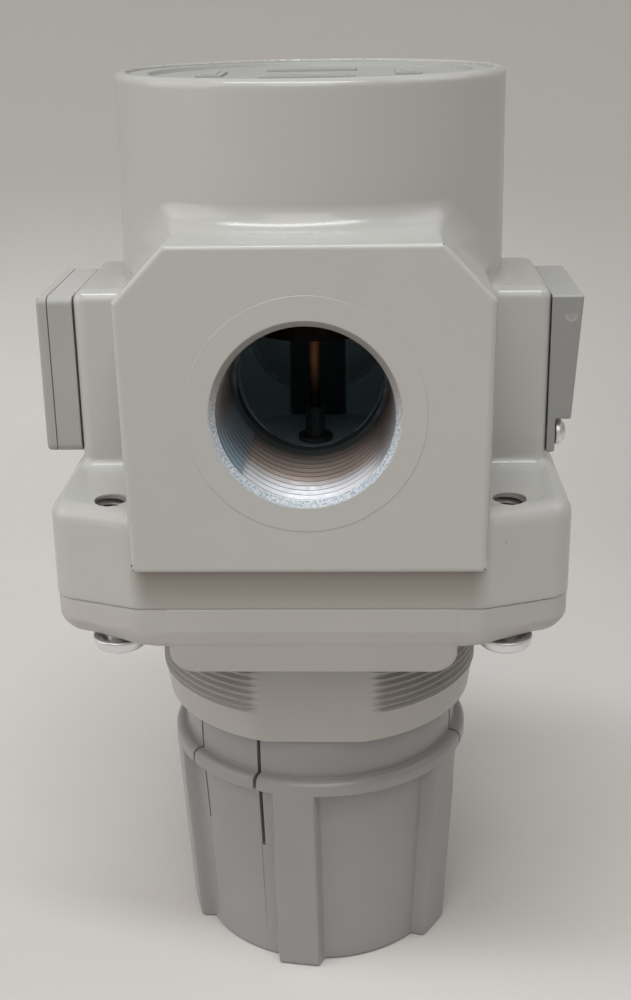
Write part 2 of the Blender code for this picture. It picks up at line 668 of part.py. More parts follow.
def bourdon_tube(height):
    """A flattened tube bent into three quarters of a circle."""
    radius, half_width, half_depth = 9.0, 1.1, 0.3
    rings = []
    for i in range(25):
        angle = math.radians(-60 + 270 * i / 24)
        section = []
        for k in range(8):
            a = 2 * math.pi * k / 8
            r = radius + half_width * math.cos(a)
            section.append((r * math.cos(angle), r * math.sin(angle), height + half_depth * math.sin(a)))
        rings.append(section)
    return loft(rings)


# ---------------------------------------------------------------- cover, on the +X pad

def make_cover():
    inner = PAD_X + 0.5
    side = [(inner, 113.0), (COVER_FOOT_X, 113.0), (COVER_FOOT_X, COVER_STEP_Z), (COVER_X, COVER_STEP_Z),
            (COVER_X, 144.5), (inner, 144.5)]
    half = GAUGE_HALF
    plate = loft([[(x, y, z) for x, z in side] for y in (half, -half)])
    bevel(plate, 0.5, 2, lambda p: p.x > COVER_X - 0.01)
    plate = make("cover_plate", plate, "gauge_plastic")
    cut(plate, box((inner - 1, -13.8, 121.6), (COVER_X - 1.6, 13.8, 142.6)))
    for i, y in enumerate((-COVER_SCREW_Y, COVER_SCREW_Y), 1):
        cut(plate, move(turn(rod(1.8, inner - 1, COVER_FOOT_X + 1, 12), "Y", 90), 0, y, COVER_SCREW_Z))
        head = COVER_FOOT_X + GAP
        screw = turned([(0, 38.5), (1.5, 38.5), (1.5, head), (2.65, head), (2.65, head + 1.0),
                        (2.0, head + 1.8), (1.0, head + 2.1), (0, head + 2.1)], 12)
        make(f"cover_screw_{i}", move(turn(screw, "Y", 90), 0, y, COVER_SCREW_Z), "zinc_steel")

    plug = turned([(0, 41.0), (4.5, 41.0), (4.5, 42.2), (3.4, 42.2), (3.4, 44.0), (4.5, 44.0),
                   (4.5, 46.6), (7.0, 46.6), (7.0, 49.0), (0, 49.0)], 16)
    make("port_plug", move(turn(plug, "Y", 90), z=GAUGE_Z), "guide_plastic")
    make("plug_o_ring", move(turn(o_ring(4.35, 1.1, 43.1, 20), "Y", 90), z=GAUGE_Z), "rubber")


# ---------------------------------------------------------------- assembly

def build():
    clear_scene()
    turning_axis = axis_empty("knob_axis", (0, 0, 0))
    nut_axis = axis_empty("nut_slide_axis", (0, 0, THRUST_Z))
    valve_axis = axis_empty("valve_slide_axis", (0, 0, WEB_TOP_Z))
    plate_axis = axis_empty("plate_slide_axis", (0, 0, PARTING_Z))

    make_body()
    make_valve_guide()
    make_valve(valve_axis)
    spring_top = make_diaphragm(plate_axis)
    make_bonnet()
    make_bonnet_screws()
    screw_top = make_adjusting_screw(turning_axis)
    seat_top = make_adjusting_nut(nut_axis, screw_top + 1.0)
    make("adjusting_spring", coil(16.6, 2.4, seat_top + GAP, spring_top - GAP, 4.5), "spring_steel")
    make_knob(turning_axis)
    make_gauge()
    make_cover()


build()
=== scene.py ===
"""Looks of the compressed air regulator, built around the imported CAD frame.

Shapes are worked out in millimetres in the CAD's own axes and scaled to metres as meshes are made.
Castings are signed distance fields that are meshed here, so that they have cast fillets. Turned and
moulded pieces are lofted through rows of points around an axis, which also gives them real threads.
"""

import json
import math

import bmesh
import bpy
import numpy as np
from mathutils import Matrix, Vector


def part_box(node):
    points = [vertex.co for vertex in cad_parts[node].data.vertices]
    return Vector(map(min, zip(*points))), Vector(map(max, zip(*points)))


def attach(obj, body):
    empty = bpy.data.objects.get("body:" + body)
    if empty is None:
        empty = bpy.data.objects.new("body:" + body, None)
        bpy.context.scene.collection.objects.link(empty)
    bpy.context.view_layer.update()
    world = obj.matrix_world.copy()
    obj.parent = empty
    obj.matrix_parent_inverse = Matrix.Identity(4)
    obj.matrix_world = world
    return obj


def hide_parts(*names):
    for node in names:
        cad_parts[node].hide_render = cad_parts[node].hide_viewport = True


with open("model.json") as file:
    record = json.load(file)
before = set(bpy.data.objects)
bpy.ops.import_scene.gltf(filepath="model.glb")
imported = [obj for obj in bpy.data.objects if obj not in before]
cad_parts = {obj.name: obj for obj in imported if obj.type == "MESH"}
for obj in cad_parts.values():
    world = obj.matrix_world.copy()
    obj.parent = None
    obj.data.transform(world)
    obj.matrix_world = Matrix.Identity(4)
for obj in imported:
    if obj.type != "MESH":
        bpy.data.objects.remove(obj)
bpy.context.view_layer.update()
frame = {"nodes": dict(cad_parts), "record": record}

MM = 0.001


def node_box(name):
    """A CAD node's lowest and highest corners in millimetres."""
    low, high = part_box(name)
    return np.array(low) / MM, np.array(high) / MM


# ---------------------------------------------------------------- sizes, in millimetres

body_low, body_high = node_box("body")
bonnet_low, bonnet_high = node_box("bonnet")
knob_high = node_box("knob")[1]
guide_low, guide_high = node_box("valve_guide")
case_low, case_high = node_box("gauge_case")
bezel_low, bezel_high = node_box("gauge_bezel")
cover_low, cover_high = node_box("cover_plate")
screw_low, screw_high = node_box("bonnet_screw_4")
small_screw_low, small_screw_high = node_box("cover_screw_2")

# the body: a drafted tower on a flange, with a port block along Y, side pads along X and corner screws
FLANGE_X, BLOCK_Y, TOP_Z = body_high
PARTING_LOW, PARTING_HIGH = bonnet_high[2], body_low[2]
FLANGE_Y, FLANGE_TOP_Z = bonnet_high[1], 111.1
FLANGE_FLAT, FLANGE_SLANT, FLANGE_CORNER_R = 32.2, math.tan(math.radians(20.5)), 6.5
TOWER_R, TOWER_DRAFT = 37.6, 0.5 / 86
PLUG_BORE_R, SHOULDER_Z = 35.3, 171.7
BLOCK_PROFILE = ((-32.4, 100.6), (32.4, 100.6), (33.1, 150.3), (23.7, 160.2), (-23.7, 160.2), (-33.1, 150.3))
PAD_HALF, PAD_TOP_Z = (46.25, 16.8, 21.4), 146.4
SCREW_XY, SCREW_HOLE_R, BONNET_HOLE_R = 37.1, 3.1, 3.3
LAND_INSET, LAND_RISE = 4.4, 0.14
SEAM = 0.1

# round hollows around the main axis, as (radius, low, high)
BODY_HOLLOWS = ((27.0, 162.0, SHOULDER_Z + 2), (17.0, 138.5, 164.0), (13.0, 134.0, 140.0),
                (20.0, 111.0, 135.5), (2.3, 98.0, 112.0), (40.3, 80.0, 94.7), (30.0, 90.0, 98.6))
BONNET_HOLLOWS = ((31.0, 70.0, 87.0), (34.5, 86.0, 99.0))

# the ports: a chamfer, a tapered thread with a seam at a bearing in radians, and a faint raised ring
PORT_Z = 130.0
PORT_CHAMFER_R, PORT_MOUTH_R, PORT_END_R, PORT_CORE_R = 17.0, 15.85, 15.1, 14.2
PORT_THREAD_LENGTH, PORT_PITCH, PORT_THREAD_DEPTH = 25.0, 2.31, 0.95
SEAM_BEARING = -2.35
PORT_RING_R, PORT_RING_RISE = 21.45, 0.08

# the gauge and the cover, whose outer face slants and whose round mark is at an (x, z)
GAUGE_Z = (case_low[2] + case_high[2]) / 2
GAUGE_BORE_R, GAUGE_BORE_FLOOR = 5.3, 39.0
GAUGE_CORNER_R = 1.6
COVER_MARK = (50.2, 140.6)
COVER_SLANT, COVER_STEP_Z, COVER_FOOT_X = 1.5, 119.8, 48.0

# the bonnet: a flange with deeper tabs, a threaded neck with flats, and a pocket around the inner tube
BONNET_FLANGE_Z, CREASE_Z, SKIRT_Z = 84.0, 87.7, 78.3
TAB_HALF_WIDTH = 27.1
NECK_R, NECK_RIM_R, NECK_FLAT_Y = 34.2, 33.0, 31.2
THREAD_END_Z, NECK_RIM_Z = 63.2, 56.4
TUBE_R, TUBE_BORE_R, TUBE_END_Z = 26.0, 23.0, bonnet_low[2]
POCKET_R, POCKET_TOP_Z = 30.5, 70.0

# the knob: ribs and slits are placed in degrees, and it widens by KNOB_TAPER from its end to its lip
RIBS = (-74.5, -8.5, 59.0, 115.5, 172.0, 228.5)
RIB_SPAN = 13.2
RIB_FACE, RIB_FOOT = 4.2, 5.7
SLITS = (-55.3, -23.3, 72.0, 100.0, 184.7, 216.7)
SLIT_WIDTHS = (0.62, 0.8, 0.8, 0.8, 0.8, 0.8)
PANEL_R, RIB_R, KNOB_TAPER = 27.3, 29.8, 2.6
LIP_LOW, LIP_HIGH = 44.0, 47.2
LIP_R, COLLAR_R, KNOB_BORE_R = 32.4, 30.0, 27.3

# how finely castings are sampled, and the angles in degrees for merging flat faces and for sharp edges
FINE_STEP, COARSE_STEP = 0.5, 0.9
CAST_STEP = FINE_STEP
MERGE_ANGLE, SHARP_ANGLE = 0.35, 38.0


# ---------------------------------------------------------------- signed distances

def outline(u, v, corners, radius=0.0):
    """Distance to a convex outline given anticlockwise, with its corners rounded."""
    points = [np.array(c, float) for c in corners]
    count = len(points)
    sides = []
    for i in range(count):
        along = points[(i + 1) % count] - points[i]
        along /= np.hypot(*along)
        sides.append((np.array((along[1], -along[0])), points[i]))
    inset = []
    for (n0, p0), (n1, p1) in zip([sides[-1]] + sides[:-1], sides):
        inset.append(np.linalg.solve(np.array([n0, n1]), [n0 @ p0 - radius, n1 @ p1 - radius]))
    plane = near = None
    for i, (normal, _) in enumerate(sides):
        a, b = inset[i], inset[(i + 1) % count]
        du, dv = u - a[0], v - a[1]
        side = du * normal[0] + dv * normal[1]
        edge = b - a
        share = np.clip((du * edge[0] + dv * edge[1]) / (edge @ edge), 0, 1)
        square = (du - edge[0] * share) ** 2 + (dv - edge[1] * share) ** 2
        plane = side if plane is None else np.maximum(plane, side)
        near = square if near is None else np.minimum(near, square)
    return np.where(plane > 0, np.sqrt(near), plane) - radius


def meet(a, b, radius):
    """Where both shapes are, with a rounded edge."""
    rounding = np.hypot(np.maximum(radius + a, 0), np.maximum(radius + b, 0))
    return np.minimum(np.maximum(a, b), -radius) + rounding


def join(a, b, radius):
    """Where either shape is, with a concave fillet."""
    rounding = np.hypot(np.maximum(radius - a, 0), np.maximum(radius - b, 0))
    return np.maximum(np.minimum(a, b), radius) - rounding


def carve(a, b, radius):
    """Where a is and b is not, with a rounded edge."""
    return meet(a, -b, radius)


def between(value, low, high):
    return np.maximum(low - value, value - high)


def solid_box(x, y, z, middle, half, radius):
    """Distance to a box with rounded edges, from its middle and half sizes."""
    q = [np.abs(value - m) - h + radius for value, m, h in zip((x, y, z), middle, half)]
    outside = np.sqrt(sum(np.maximum(k, 0) ** 2 for k in q))
    return outside + np.minimum(np.maximum(np.maximum(q[0], q[1]), q[2]), 0) - radius


def flange_corners(inset=0.0):
    """The flange's eight corners, anticlockwise: a rectangle whose front and back slant away to the sides."""
    x, y = FLANGE_X - inset, FLANGE_Y - inset
    drop = (x - FLANGE_FLAT) * FLANGE_SLANT
    lower = [(FLANGE_FLAT, -y), (x, -y + drop)]
    upper = [(x, y - drop), (FLANGE_FLAT, y)]
    return lower + upper + [(-u, v) for u, v in reversed(upper)] + [(-u, v) for u, v in reversed(lower)]


def turned_hollow(radial, z, steps):
    """Stacked round hollows of (radius, low, high)."""
    found = None
    for radius, low, high in steps:
        hollow = meet(radial - radius, between(z, low, high), 0.3)
        found = hollow if found is None else np.minimum(found, hollow)
    return found


def screw_holes(x, y, radius):
    return np.hypot(np.abs(x) - SCREW_XY, np.abs(y) - SCREW_XY) - radius


def body_field(x, y, z):
    """The body: tower, side pads, flange and port block, with the bores and ports carved out."""
    radial = np.hypot(x, y)
    tower = meet(radial - TOWER_R - TOWER_DRAFT * (TOP_Z - z), between(z, 96.0, TOP_Z), 1.5)
    pads = solid_box(x, y, z, (0, 0, PAD_TOP_Z - PAD_HALF[2]), PAD_HALF, 2.5)
    flange = meet(outline(x, y, flange_corners(), FLANGE_CORNER_R), z - FLANGE_TOP_Z + LAND_RISE, 3.2)
    flange = meet(flange, PARTING_HIGH - SEAM - z, 0.25)
    height = np.broadcast_to(z, np.broadcast_shapes(x.shape, y.shape, z.shape))
    edge = np.interp(height, [101.5, 104.0], [0.4, 1.1])
    block = meet(outline(x, z, BLOCK_PROFILE, 1.0), np.abs(y) - BLOCK_Y + PORT_RING_RISE, edge)
    cast = join(join(tower, pads, 2.0), flange, 2.0)
    fillet = np.interp(height, [105.0, 112.0, 148.0, 157.0], [0.25, 1.3, 1.3, 5.2])
    cast = join(cast, block, fillet)

    cast = carve(cast, turned_hollow(radial, z, ((PLUG_BORE_R, SHOULDER_Z, TOP_Z + 9),)), 0.45)
    inner = turned_hollow(radial, z, BODY_HOLLOWS)
    inlet = np.maximum(np.abs(x) - 12.5, np.maximum(between(z, 138.5, 150.0), between(y, 1.0, 25.5)))
    across = np.hypot(x, z - PORT_Z)
    ports = np.minimum(np.maximum(across - PORT_CHAMFER_R - 0.25, BLOCK_Y - PORT_THREAD_LENGTH - np.abs(y)),
                       np.maximum(across - PORT_CORE_R, between(y, -24.0, 19.0)))
    cast = carve(cast, np.minimum(np.minimum(inner, inlet), ports), 0.2)
    holes = np.maximum(screw_holes(x, y, SCREW_HOLE_R), z - FLANGE_TOP_Z - 5)
    side_bore = np.maximum(np.hypot(y, z - GAUGE_Z) - GAUGE_BORE_R, GAUGE_BORE_FLOOR - np.abs(x))
    return carve(cast, np.minimum(holes, side_bore), 0.15)


def bonnet_field(x, y, z):
    """The bonnet's flange, which drafts in below its crease, with the deeper front and back tabs."""
    radial = np.hypot(x, y)
    draft = 0.2 + 0.17 * np.maximum(CREASE_Z - z, 0)
    wall = outline(x, y, flange_corners(), FLANGE_CORNER_R) + draft
    foot_r = np.interp(np.broadcast_to(np.abs(x), np.broadcast_shapes(x.shape, y.shape, z.shape)),
                       [29.0, 42.0], [1.0, 4.2])
    plate = meet(wall, BONNET_FLANGE_Z - z, foot_r)
    tab_side = ((-9.0, SKIRT_Z), (TAB_HALF_WIDTH, SKIRT_Z), (TAB_HALF_WIDTH, 99.0), (-9.0, 99.0))
    tab = outline(np.abs(x - 0.5) * np.ones_like(z), z, tab_side, 4.5)
    tab = meet(meet(tab, wall, 0.45), 29.0 - np.abs(y), 0.2)
    shell = meet(join(plate, tab, 0.3), z - PARTING_LOW - SEAM, 0.25)
    hollow = turned_hollow(radial, z, BONNET_HOLLOWS)
    return carve(shell, np.minimum(hollow, screw_holes(x, y, BONNET_HOLE_R)), 0.15)


# ---------------------------------------------------------------- meshes

CUBE = np.array([(i, j, k) for i in (0, 1) for j in (0, 1) for k in (0, 1)])
CUBE_EDGES = [(a, b) for a in range(8) for b in range(a + 1, 8) if abs(CUBE[a] - CUBE[b]).sum() == 1]


def gradient(field, points, reach=0.02):
    """The field's unit slope at each point."""
    columns = []
    for axis in range(3):
        ahead, behind = points.copy(), points.copy()
        ahead[:, axis] += reach
        behind[:, axis] -= reach
        columns.append(field(*ahead.T) - field(*behind.T))
    slope = np.stack(columns, 1)
    return slope / np.maximum(np.linalg.norm(slope, axis=1, keepdims=True), 1e-9)


def contour(field, low, high, step, centring=0.04):
    """Points and quads of a field's surface, with its sharp edges kept (dual contouring).

    centring is how strongly a cell's point is drawn to the middle of its crossings where its planes agree.
    """
    ticks = [np.arange(a - 1.6 * step, b + 2.1 * step, step) for a, b in zip(low, high)]
    values = field(ticks[0][:, None, None], ticks[1][None, :, None], ticks[2][None, None, :])
    inside = values < 0
    cells = tuple(n - 1 for n in inside.shape)

    def corner(array, offset):
        return array[tuple(slice(o, o + n) for o, n in zip(offset, cells))]

    filled = sum(corner(inside, offset).astype(np.int8) for offset in CUBE)
    active = (filled > 0) & (filled < 8)
    where = np.stack(np.nonzero(active), 1)
    index = np.full(cells, -1)
    index[active] = np.arange(len(where))

    origin = np.array([t[0] for t in ticks])
    normal_sum = np.zeros((len(where), 3, 3))
    plane_sum = np.zeros((len(where), 3))
    middle, hits = np.zeros((len(where), 3)), np.zeros(len(where))
    for a, b in CUBE_EDGES:
        va, vb = (values[tuple((where + CUBE[c]).T)] for c in (a, b))
        crossing = np.nonzero((va < 0) != (vb < 0))[0]
        share = (va[crossing] / (va[crossing] - vb[crossing]))[:, None]
        point = origin + (where[crossing] + CUBE[a] + (CUBE[b] - CUBE[a]) * share) * step
        normal = gradient(field, point)
        normal_sum[crossing] += normal[:, :, None] * normal[:, None, :]
        plane_sum[crossing] += normal * (normal * point).sum(1, keepdims=True)
        middle[crossing] += point
        hits[crossing] += 1
    middle /= hits[:, None]
    pull = centring * hits[:, None, None] * np.eye(3)
    target = plane_sum + (pull @ middle[:, :, None])[:, :, 0]
    points = np.linalg.solve(normal_sum + pull, target[:, :, None])[:, :, 0]
    cell_low = origin + where * step
    points = np.clip(points, cell_low, cell_low + step)
    points = np.clip(points, low, high)

    quads = []
    for axis in range(3):
        one, two = (axis + 1) % 3, (axis + 2) % 3
        ahead = np.take(inside, range(1, inside.shape[axis]), axis)
        behind = np.take(inside, range(0, inside.shape[axis] - 1), axis)
        edge = np.stack(np.nonzero(ahead != behind), 1)
        place = edge[:, [one, two]]
        edge = edge[((place > 0) & (place < (cells[one], cells[two]))).all(1)]
        loop = []
        for da, db in ((1, 1), (0, 1), (0, 0), (1, 0)):
            cell = edge.copy()
            cell[:, one] -= da
            cell[:, two] -= db
            loop.append(index[tuple(cell.T)])
        quad = np.stack(loop, 1)
        leaving = behind[tuple(edge.T)]
        quad[~leaving] = quad[~leaving][:, ::-1]
        quads.append(quad)
    return points, np.concatenate(quads)


def loft(rows, closed=False, capped=True):
    """Points and faces through rows of points around an axis. The ends are joined, capped or left open."""
    rows = np.array(rows, float)
    count, columns = rows.shape[:2]
    grid = np.arange(count * columns).reshape(count, columns)
    low, high = (grid, np.roll(grid, -1, 0)) if closed else (grid[:-1], grid[1:])
    quads = np.stack([low, np.roll(low, -1, 1), np.roll(high, -1, 1), high], 2).reshape(-1, 4)
    faces = [tuple(q) for q in quads.tolist()]
    if capped and not closed:
        faces += [tuple(reversed(grid[0].tolist())), tuple(grid[-1].tolist())]
    return rows.reshape(-1, 3), faces


def helix(radius_at, low, high, pitch, azimuths, breaks):
    """A threaded wall from z = low to z = high whose rows follow the helix.

    radius_at(z, phase) gives the wall; breaks are the phases from 0 to 1 that get a row. The two ends are
    plain circles, so the thread has to fade out there.
    """
    turns = math.ceil((high - low) / pitch) + 1
    steps = np.array([turn + b for turn in range(-1, turns) for b in breaks])
    share = azimuths / (2 * math.pi)
    z = np.clip(low + pitch * (steps[:, None] + share[None, :]), low, high)
    radius = radius_at(z, np.mod((z - low) / pitch - share[None, :], 1.0))
    points = np.stack([radius * np.cos(azimuths), radius * np.sin(azimuths), z], 2)
    rows, columns = z.shape
    grid = np.arange(rows * columns).reshape(rows, columns)
    after = np.roll(grid, -1, 1)
    after[:, -1] = np.concatenate([grid[len(breaks):, 0], grid[-1:, 0].repeat(len(breaks))])
    quads = np.stack([grid[:-1], after[:-1], after[1:], grid[1:]], 2).reshape(-1, 4)
    heights = z.reshape(-1)[quads]
    quads = quads[np.ptp(heights[:, [0, 3]], axis=1) + np.ptp(heights[:, [1, 2]], axis=1) > 1e-6]
    return points.reshape(-1, 3), [tuple(q) for q in quads.tolist()]


def round_azimuths(count):
    return np.linspace(0, 2 * math.pi, count, endpoint=False)


def ring(radius, z, azimuths):
    """One row of points around the axis. The radius may change around it."""
    return np.stack([radius * np.cos(azimuths), radius * np.sin(azimuths), np.full_like(azimuths, z)], 1)


def circle_rows(profile, azimuths):
    """Rows for a turned piece from a profile of (radius, z)."""
    return [ring(radius, z, azimuths) for radius, z in profile]


def round_bar(radius, low, high, count):
    """A plain round bar along the axis, for cutting with."""
    return loft(circle_rows(((radius, low), (radius, high)), round_azimuths(count)))


def rounded_profile(corners, radius, steps=4):
    """A profile of (radius, z) whose inner corners are replaced by arcs. radius is one number or one each."""
    made = []
    for i, corner in enumerate(corners):
        r = radius[i] if isinstance(radius, (list, tuple)) else radius
        if i in (0, len(corners) - 1) or r == 0:
            made.append(tuple(corner))
            continue
        here = Vector(corner)
        before = (Vector(corners[i - 1]) - here).normalized()
        after = (Vector(corners[i + 1]) - here).normalized()
        half = before.angle(after) / 2
        middle = here + (before + after).normalized() * (r / math.sin(half))
        first = here + before * (r / math.tan(half)) - middle
        last = here + after * (r / math.tan(half)) - middle
        sweep = first.angle_signed(last)
        for k in range(steps + 1):
            spoke = first.copy()
            spoke.rotate(Matrix.Rotation(-sweep * k / steps, 2))
            made.append(tuple(middle + spoke))
    return made


def piece(name, shape, look, nodes=(), body="housing", merge=0.0):
    """One object made from points and faces in millimetres, riding on a body and standing for CAD nodes.

    Its material slot has its look's name. Faces within merge degrees are joined.
    """
    points, faces = shape
    mesh = bpy.data.meshes.new(name)
    mesh.from_pydata((np.asarray(points) * MM).tolist(), [], [tuple(f) for f in faces])
    bm = bmesh.new()
    bm.from_mesh(mesh)
    bmesh.ops.remove_doubles(bm, verts=bm.verts, dist=1e-7)
    bmesh.ops.dissolve_degenerate(bm, edges=bm.edges, dist=1e-7)
    if merge:
        bmesh.ops.dissolve_limit(bm, angle_limit=math.radians(merge), verts=bm.verts, edges=bm.edges,
                                 use_dissolve_boundaries=False)
        bmesh.ops.triangulate(bm, faces=[f for f in bm.faces if len(f.verts) > 4])
    bmesh.ops.recalc_face_normals(bm, faces=bm.faces)
    bm.to_mesh(mesh)
    bm.free()
    mesh.shade_smooth()
    mesh.set_sharp_from_angle(angle=math.radians(SHARP_ANGLE))
    mesh.materials.append(LOOKS[look])
    obj = bpy.data.objects.new(name, mesh)
    bpy.context.scene.collection.objects.link(obj)
    smooth = obj.modifiers.new("even_shading", "WEIGHTED_NORMAL")
    smooth.keep_sharp = True
    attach(obj, body)
    if nodes:
        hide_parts(*nodes)
    return obj


def cut_from(obj, shapes):
    """Cut closed shapes, in millimetres, out of an object."""
    bm = bmesh.new()
    for points, faces in shapes:
        made = [bm.verts.new(Vector(p) * MM) for p in points]
        for f in faces:
            bm.faces.new([made[i] for i in f])
    bmesh.ops.recalc_face_normals(bm, faces=bm.faces)
    mesh = bpy.data.meshes.new("cutter")
    bm.to_mesh(mesh)
    bm.free()
    tool = bpy.data.objects.new("cutter", mesh)
    bpy.context.scene.collection.objects.link(tool)
    change = obj.modifiers.new("cut", "BOOLEAN")
    change.operation, change.solver, change.object = "DIFFERENCE", "EXACT", tool
    shading = obj.modifiers["even_shading"]
    shading.show_viewport = False
    bpy.context.view_layer.update()
    mesh = bpy.data.meshes.new_from_object(obj.evaluated_get(bpy.context.evaluated_depsgraph_get()))
    obj.modifiers.remove(change)
    shading.show_viewport = True
    mesh.shade_smooth()
    mesh.set_sharp_from_angle(angle=math.radians(SHARP_ANGLE))
    obj.data = mesh
    bpy.data.objects.remove(tool, do_unlink=True)


def slab(low, high, turn=0.0):
    """A box shape, turned about Z by degrees."""
    corners = np.array([(x, y, z) for z in (low[2], high[2]) for x, y in
                        ((low[0], low[1]), (high[0], low[1]), (high[0], high[1]), (low[0], high[1]))], float)
    c, s = math.cos(math.radians(turn)), math.sin(math.radians(turn))
    corners[:, :2] = corners[:, :2] @ np.array([(c, s), (-s, c)])
    return corners, [(3, 2, 1, 0), (4, 5, 6, 7), (0, 1, 5, 4), (1, 2, 6, 5), (2, 3, 7, 6), (3, 0, 4, 7)]


def soft_box(low, high, radius, steps=3):
    """A box shape whose edges are all rounded."""
    bm = bmesh.new()
    bmesh.ops.create_cube(bm, size=1.0)
    size, middle = np.subtract(high, low), np.add(high, low) / 2
    bmesh.ops.scale(bm, verts=bm.verts, vec=size)
    bmesh.ops.translate(bm, verts=bm.verts, vec=middle)
    bmesh.ops.bevel(bm, geom=list(bm.edges), offset=radius, offset_type="OFFSET", segments=steps, profile=0.5,
                    affect="EDGES")
    shape = [tuple(v.co) for v in bm.verts], [tuple(v.index for v in f.verts) for f in bm.faces]
    bm.free()
    return shape


def together(*shapes):
    """Several shapes as one."""
    points, faces = [], []
    for p, f in shapes:
        faces += [tuple(i + len(points) for i in face) for face in f]
        points += [tuple(q) for q in np.asarray(p)]
    return points, faces


def moved(shape, offset=(0, 0, 0), matrix=None):
    """A shape turned by a matrix and then shifted."""
    points = np.asarray(shape[0], float)
    if matrix is not None:
        points = points @ np.array(matrix.to_3x3()).T
    return points + np.array(offset, float), shape[1]


def ridge(phase, crest, root):
    """Thread form from 0 in the root to 1 on the crest. crest and root are shares of half a pitch."""
    away = np.abs(np.mod(phase, 1.0) - 0.5) * 2
    return np.clip((1 - root - away) / (1 - root - crest), 0, 1)


# ---------------------------------------------------------------- finishes

class Graph:
    """A material's node tree, with positions in millimetres in the piece's own axes."""

    def __init__(self, name, colour, roughness, metallic=0.0):
        self.material = bpy.data.materials.new(name)
        self.material.use_nodes = True
        self.tree = self.material.node_tree
        self.shader = self.tree.nodes["Principled BSDF"]
        self.colour, self.roughness = colour, roughness
        self.shader.inputs["Metallic"].default_value = metallic
        place = self.add("ShaderNodeTexCoord").outputs["Object"]
        scale = self.add("ShaderNodeVectorMath", operation="SCALE")
        self.tree.links.new(place, scale.inputs[0])
        scale.inputs["Scale"].default_value = 1 / MM
        self.place = scale.outputs[0]

    def add(self, kind, **settings):
        """A new node."""
        made = self.tree.nodes.new(kind)
        for key, value in settings.items():
            setattr(made, key, value)
        return made

    def put(self, socket, value):
        """Give an input a number or colour, or link it to an output."""
        if isinstance(value, bpy.types.NodeSocket):
            self.tree.links.new(value, socket)
        else:
            socket.default_value = value

    def maths(self, operation, a, b=0.0, clamp=False):
        made = self.add("ShaderNodeMath", operation=operation, use_clamp=clamp)
        self.put(made.inputs[0], a)
        self.put(made.inputs[1], b)
        return made.outputs[0]

    def plus(self, a, b):
        return self.maths("ADD", a, b)

    def minus(self, a, b):
        return self.maths("SUBTRACT", a, b)

    def times(self, a, b):
        return self.maths("MULTIPLY", a, b)

    def length(self, a, b):
        return self.maths("SQRT", self.plus(self.times(a, a), self.times(b, b)))

    def port_places(self):
        """Depth into the nearer port, height above the ports' axis, and distance from that axis."""
        x, y, z = self.axes()
        up = self.minus(z, PORT_Z)
        return self.minus(BLOCK_Y, self.maths("ABSOLUTE", y)), up, self.length(x, up)

    def noise(self, size, detail=2.0, stretch=None):
        """Noise from 0 to 1 whose features are about size millimetres across."""
        place = self.place
        if stretch:
            bent = self.add("ShaderNodeVectorMath", operation="MULTIPLY")
            self.put(bent.inputs[0], place)
            bent.inputs[1].default_value = stretch
            place = bent.outputs[0]
        made = self.add("ShaderNodeTexNoise")
        self.put(made.inputs["Vector"], place)
        made.inputs["Scale"].default_value = 1 / size
        made.inputs["Detail"].default_value = detail
        return made.outputs["Fac"]

    def ramp(self, value, low, high, out_low=0.0, out_high=1.0, smooth=False):
        """The value as it goes from low to high, mapped onto out_low to out_high and held beyond them."""
        made = self.add("ShaderNodeMapRange", interpolation_type="SMOOTHSTEP" if smooth else "LINEAR")
        for socket, number in zip(made.inputs[:5], (value, low, high, out_low, out_high)):
            self.put(socket, number)
        return made.outputs[0]

    def mix(self, share, a, b):
        made = self.add("ShaderNodeMix", data_type="RGBA")
        sockets = [s for s in made.inputs if s.type == "RGBA"]
        self.put(made.inputs[0], share)
        for socket, colour in zip(sockets, (a, b)):
            self.put(socket, colour if isinstance(colour, bpy.types.NodeSocket) else (*colour, 1.0))
        return [s for s in made.outputs if s.type == "RGBA"][0]

    def axes(self):
        made = self.add("ShaderNodeSeparateXYZ")
        self.put(made.inputs[0], self.place)
        return made.outputs

    def distance(self, point):
        made = self.add("ShaderNodeVectorMath", operation="DISTANCE")
        self.put(made.inputs[0], self.place)
        made.inputs[1].default_value = point
        return made.outputs["Value"]

    def shaded(self, share, size):
        """The base colour, drifting a little over the surface."""
        dark = [c * (1 - share) for c in self.colour]
        pale = [min(c * (1 + share), 1.0) for c in self.colour]
        return self.mix(self.ramp(self.noise(size), 0.3, 0.7), dark, pale)

    def finish(self, colour, grain, roughness_spread, roughness_size=3.0):
        """Connect the colour, a roughness that varies, and bumps of (size, height in mm)."""
        self.put(self.shader.inputs["Base Color"], colour)
        spread = self.ramp(self.noise(roughness_size), 0.3, 0.7, self.roughness - roughness_spread,
                           self.roughness + roughness_spread)
        self.put(self.shader.inputs["Roughness"], spread)
        normal = None
        for size, height in grain:
            bump = self.add("ShaderNodeBump")
            bump.inputs["Strength"].default_value = 1.0
            bump.inputs["Distance"].default_value = height * MM
            self.put(bump.inputs["Height"], self.noise(size, 3.0))
            if normal:
                self.put(bump.inputs["Normal"], normal)
            normal = bump.outputs["Normal"]
        self.put(self.shader.inputs["Normal"], normal)
        return self.material


# paint chips, as (place, radius)
CHIPS = (((-32.3, -47.4, 100.7), 0.55), ((32.3, -47.4, 100.7), 0.5), ((23.9, -47.2, 160.0), 0.3),
         ((-33.1, -47.2, 150.2), 0.3), ((36.0, -43.5, 104.6), 0.22), ((50.6, -33.6, 97.6), 0.25),
         ((-32.2, -47.3, 101.9), 0.22))


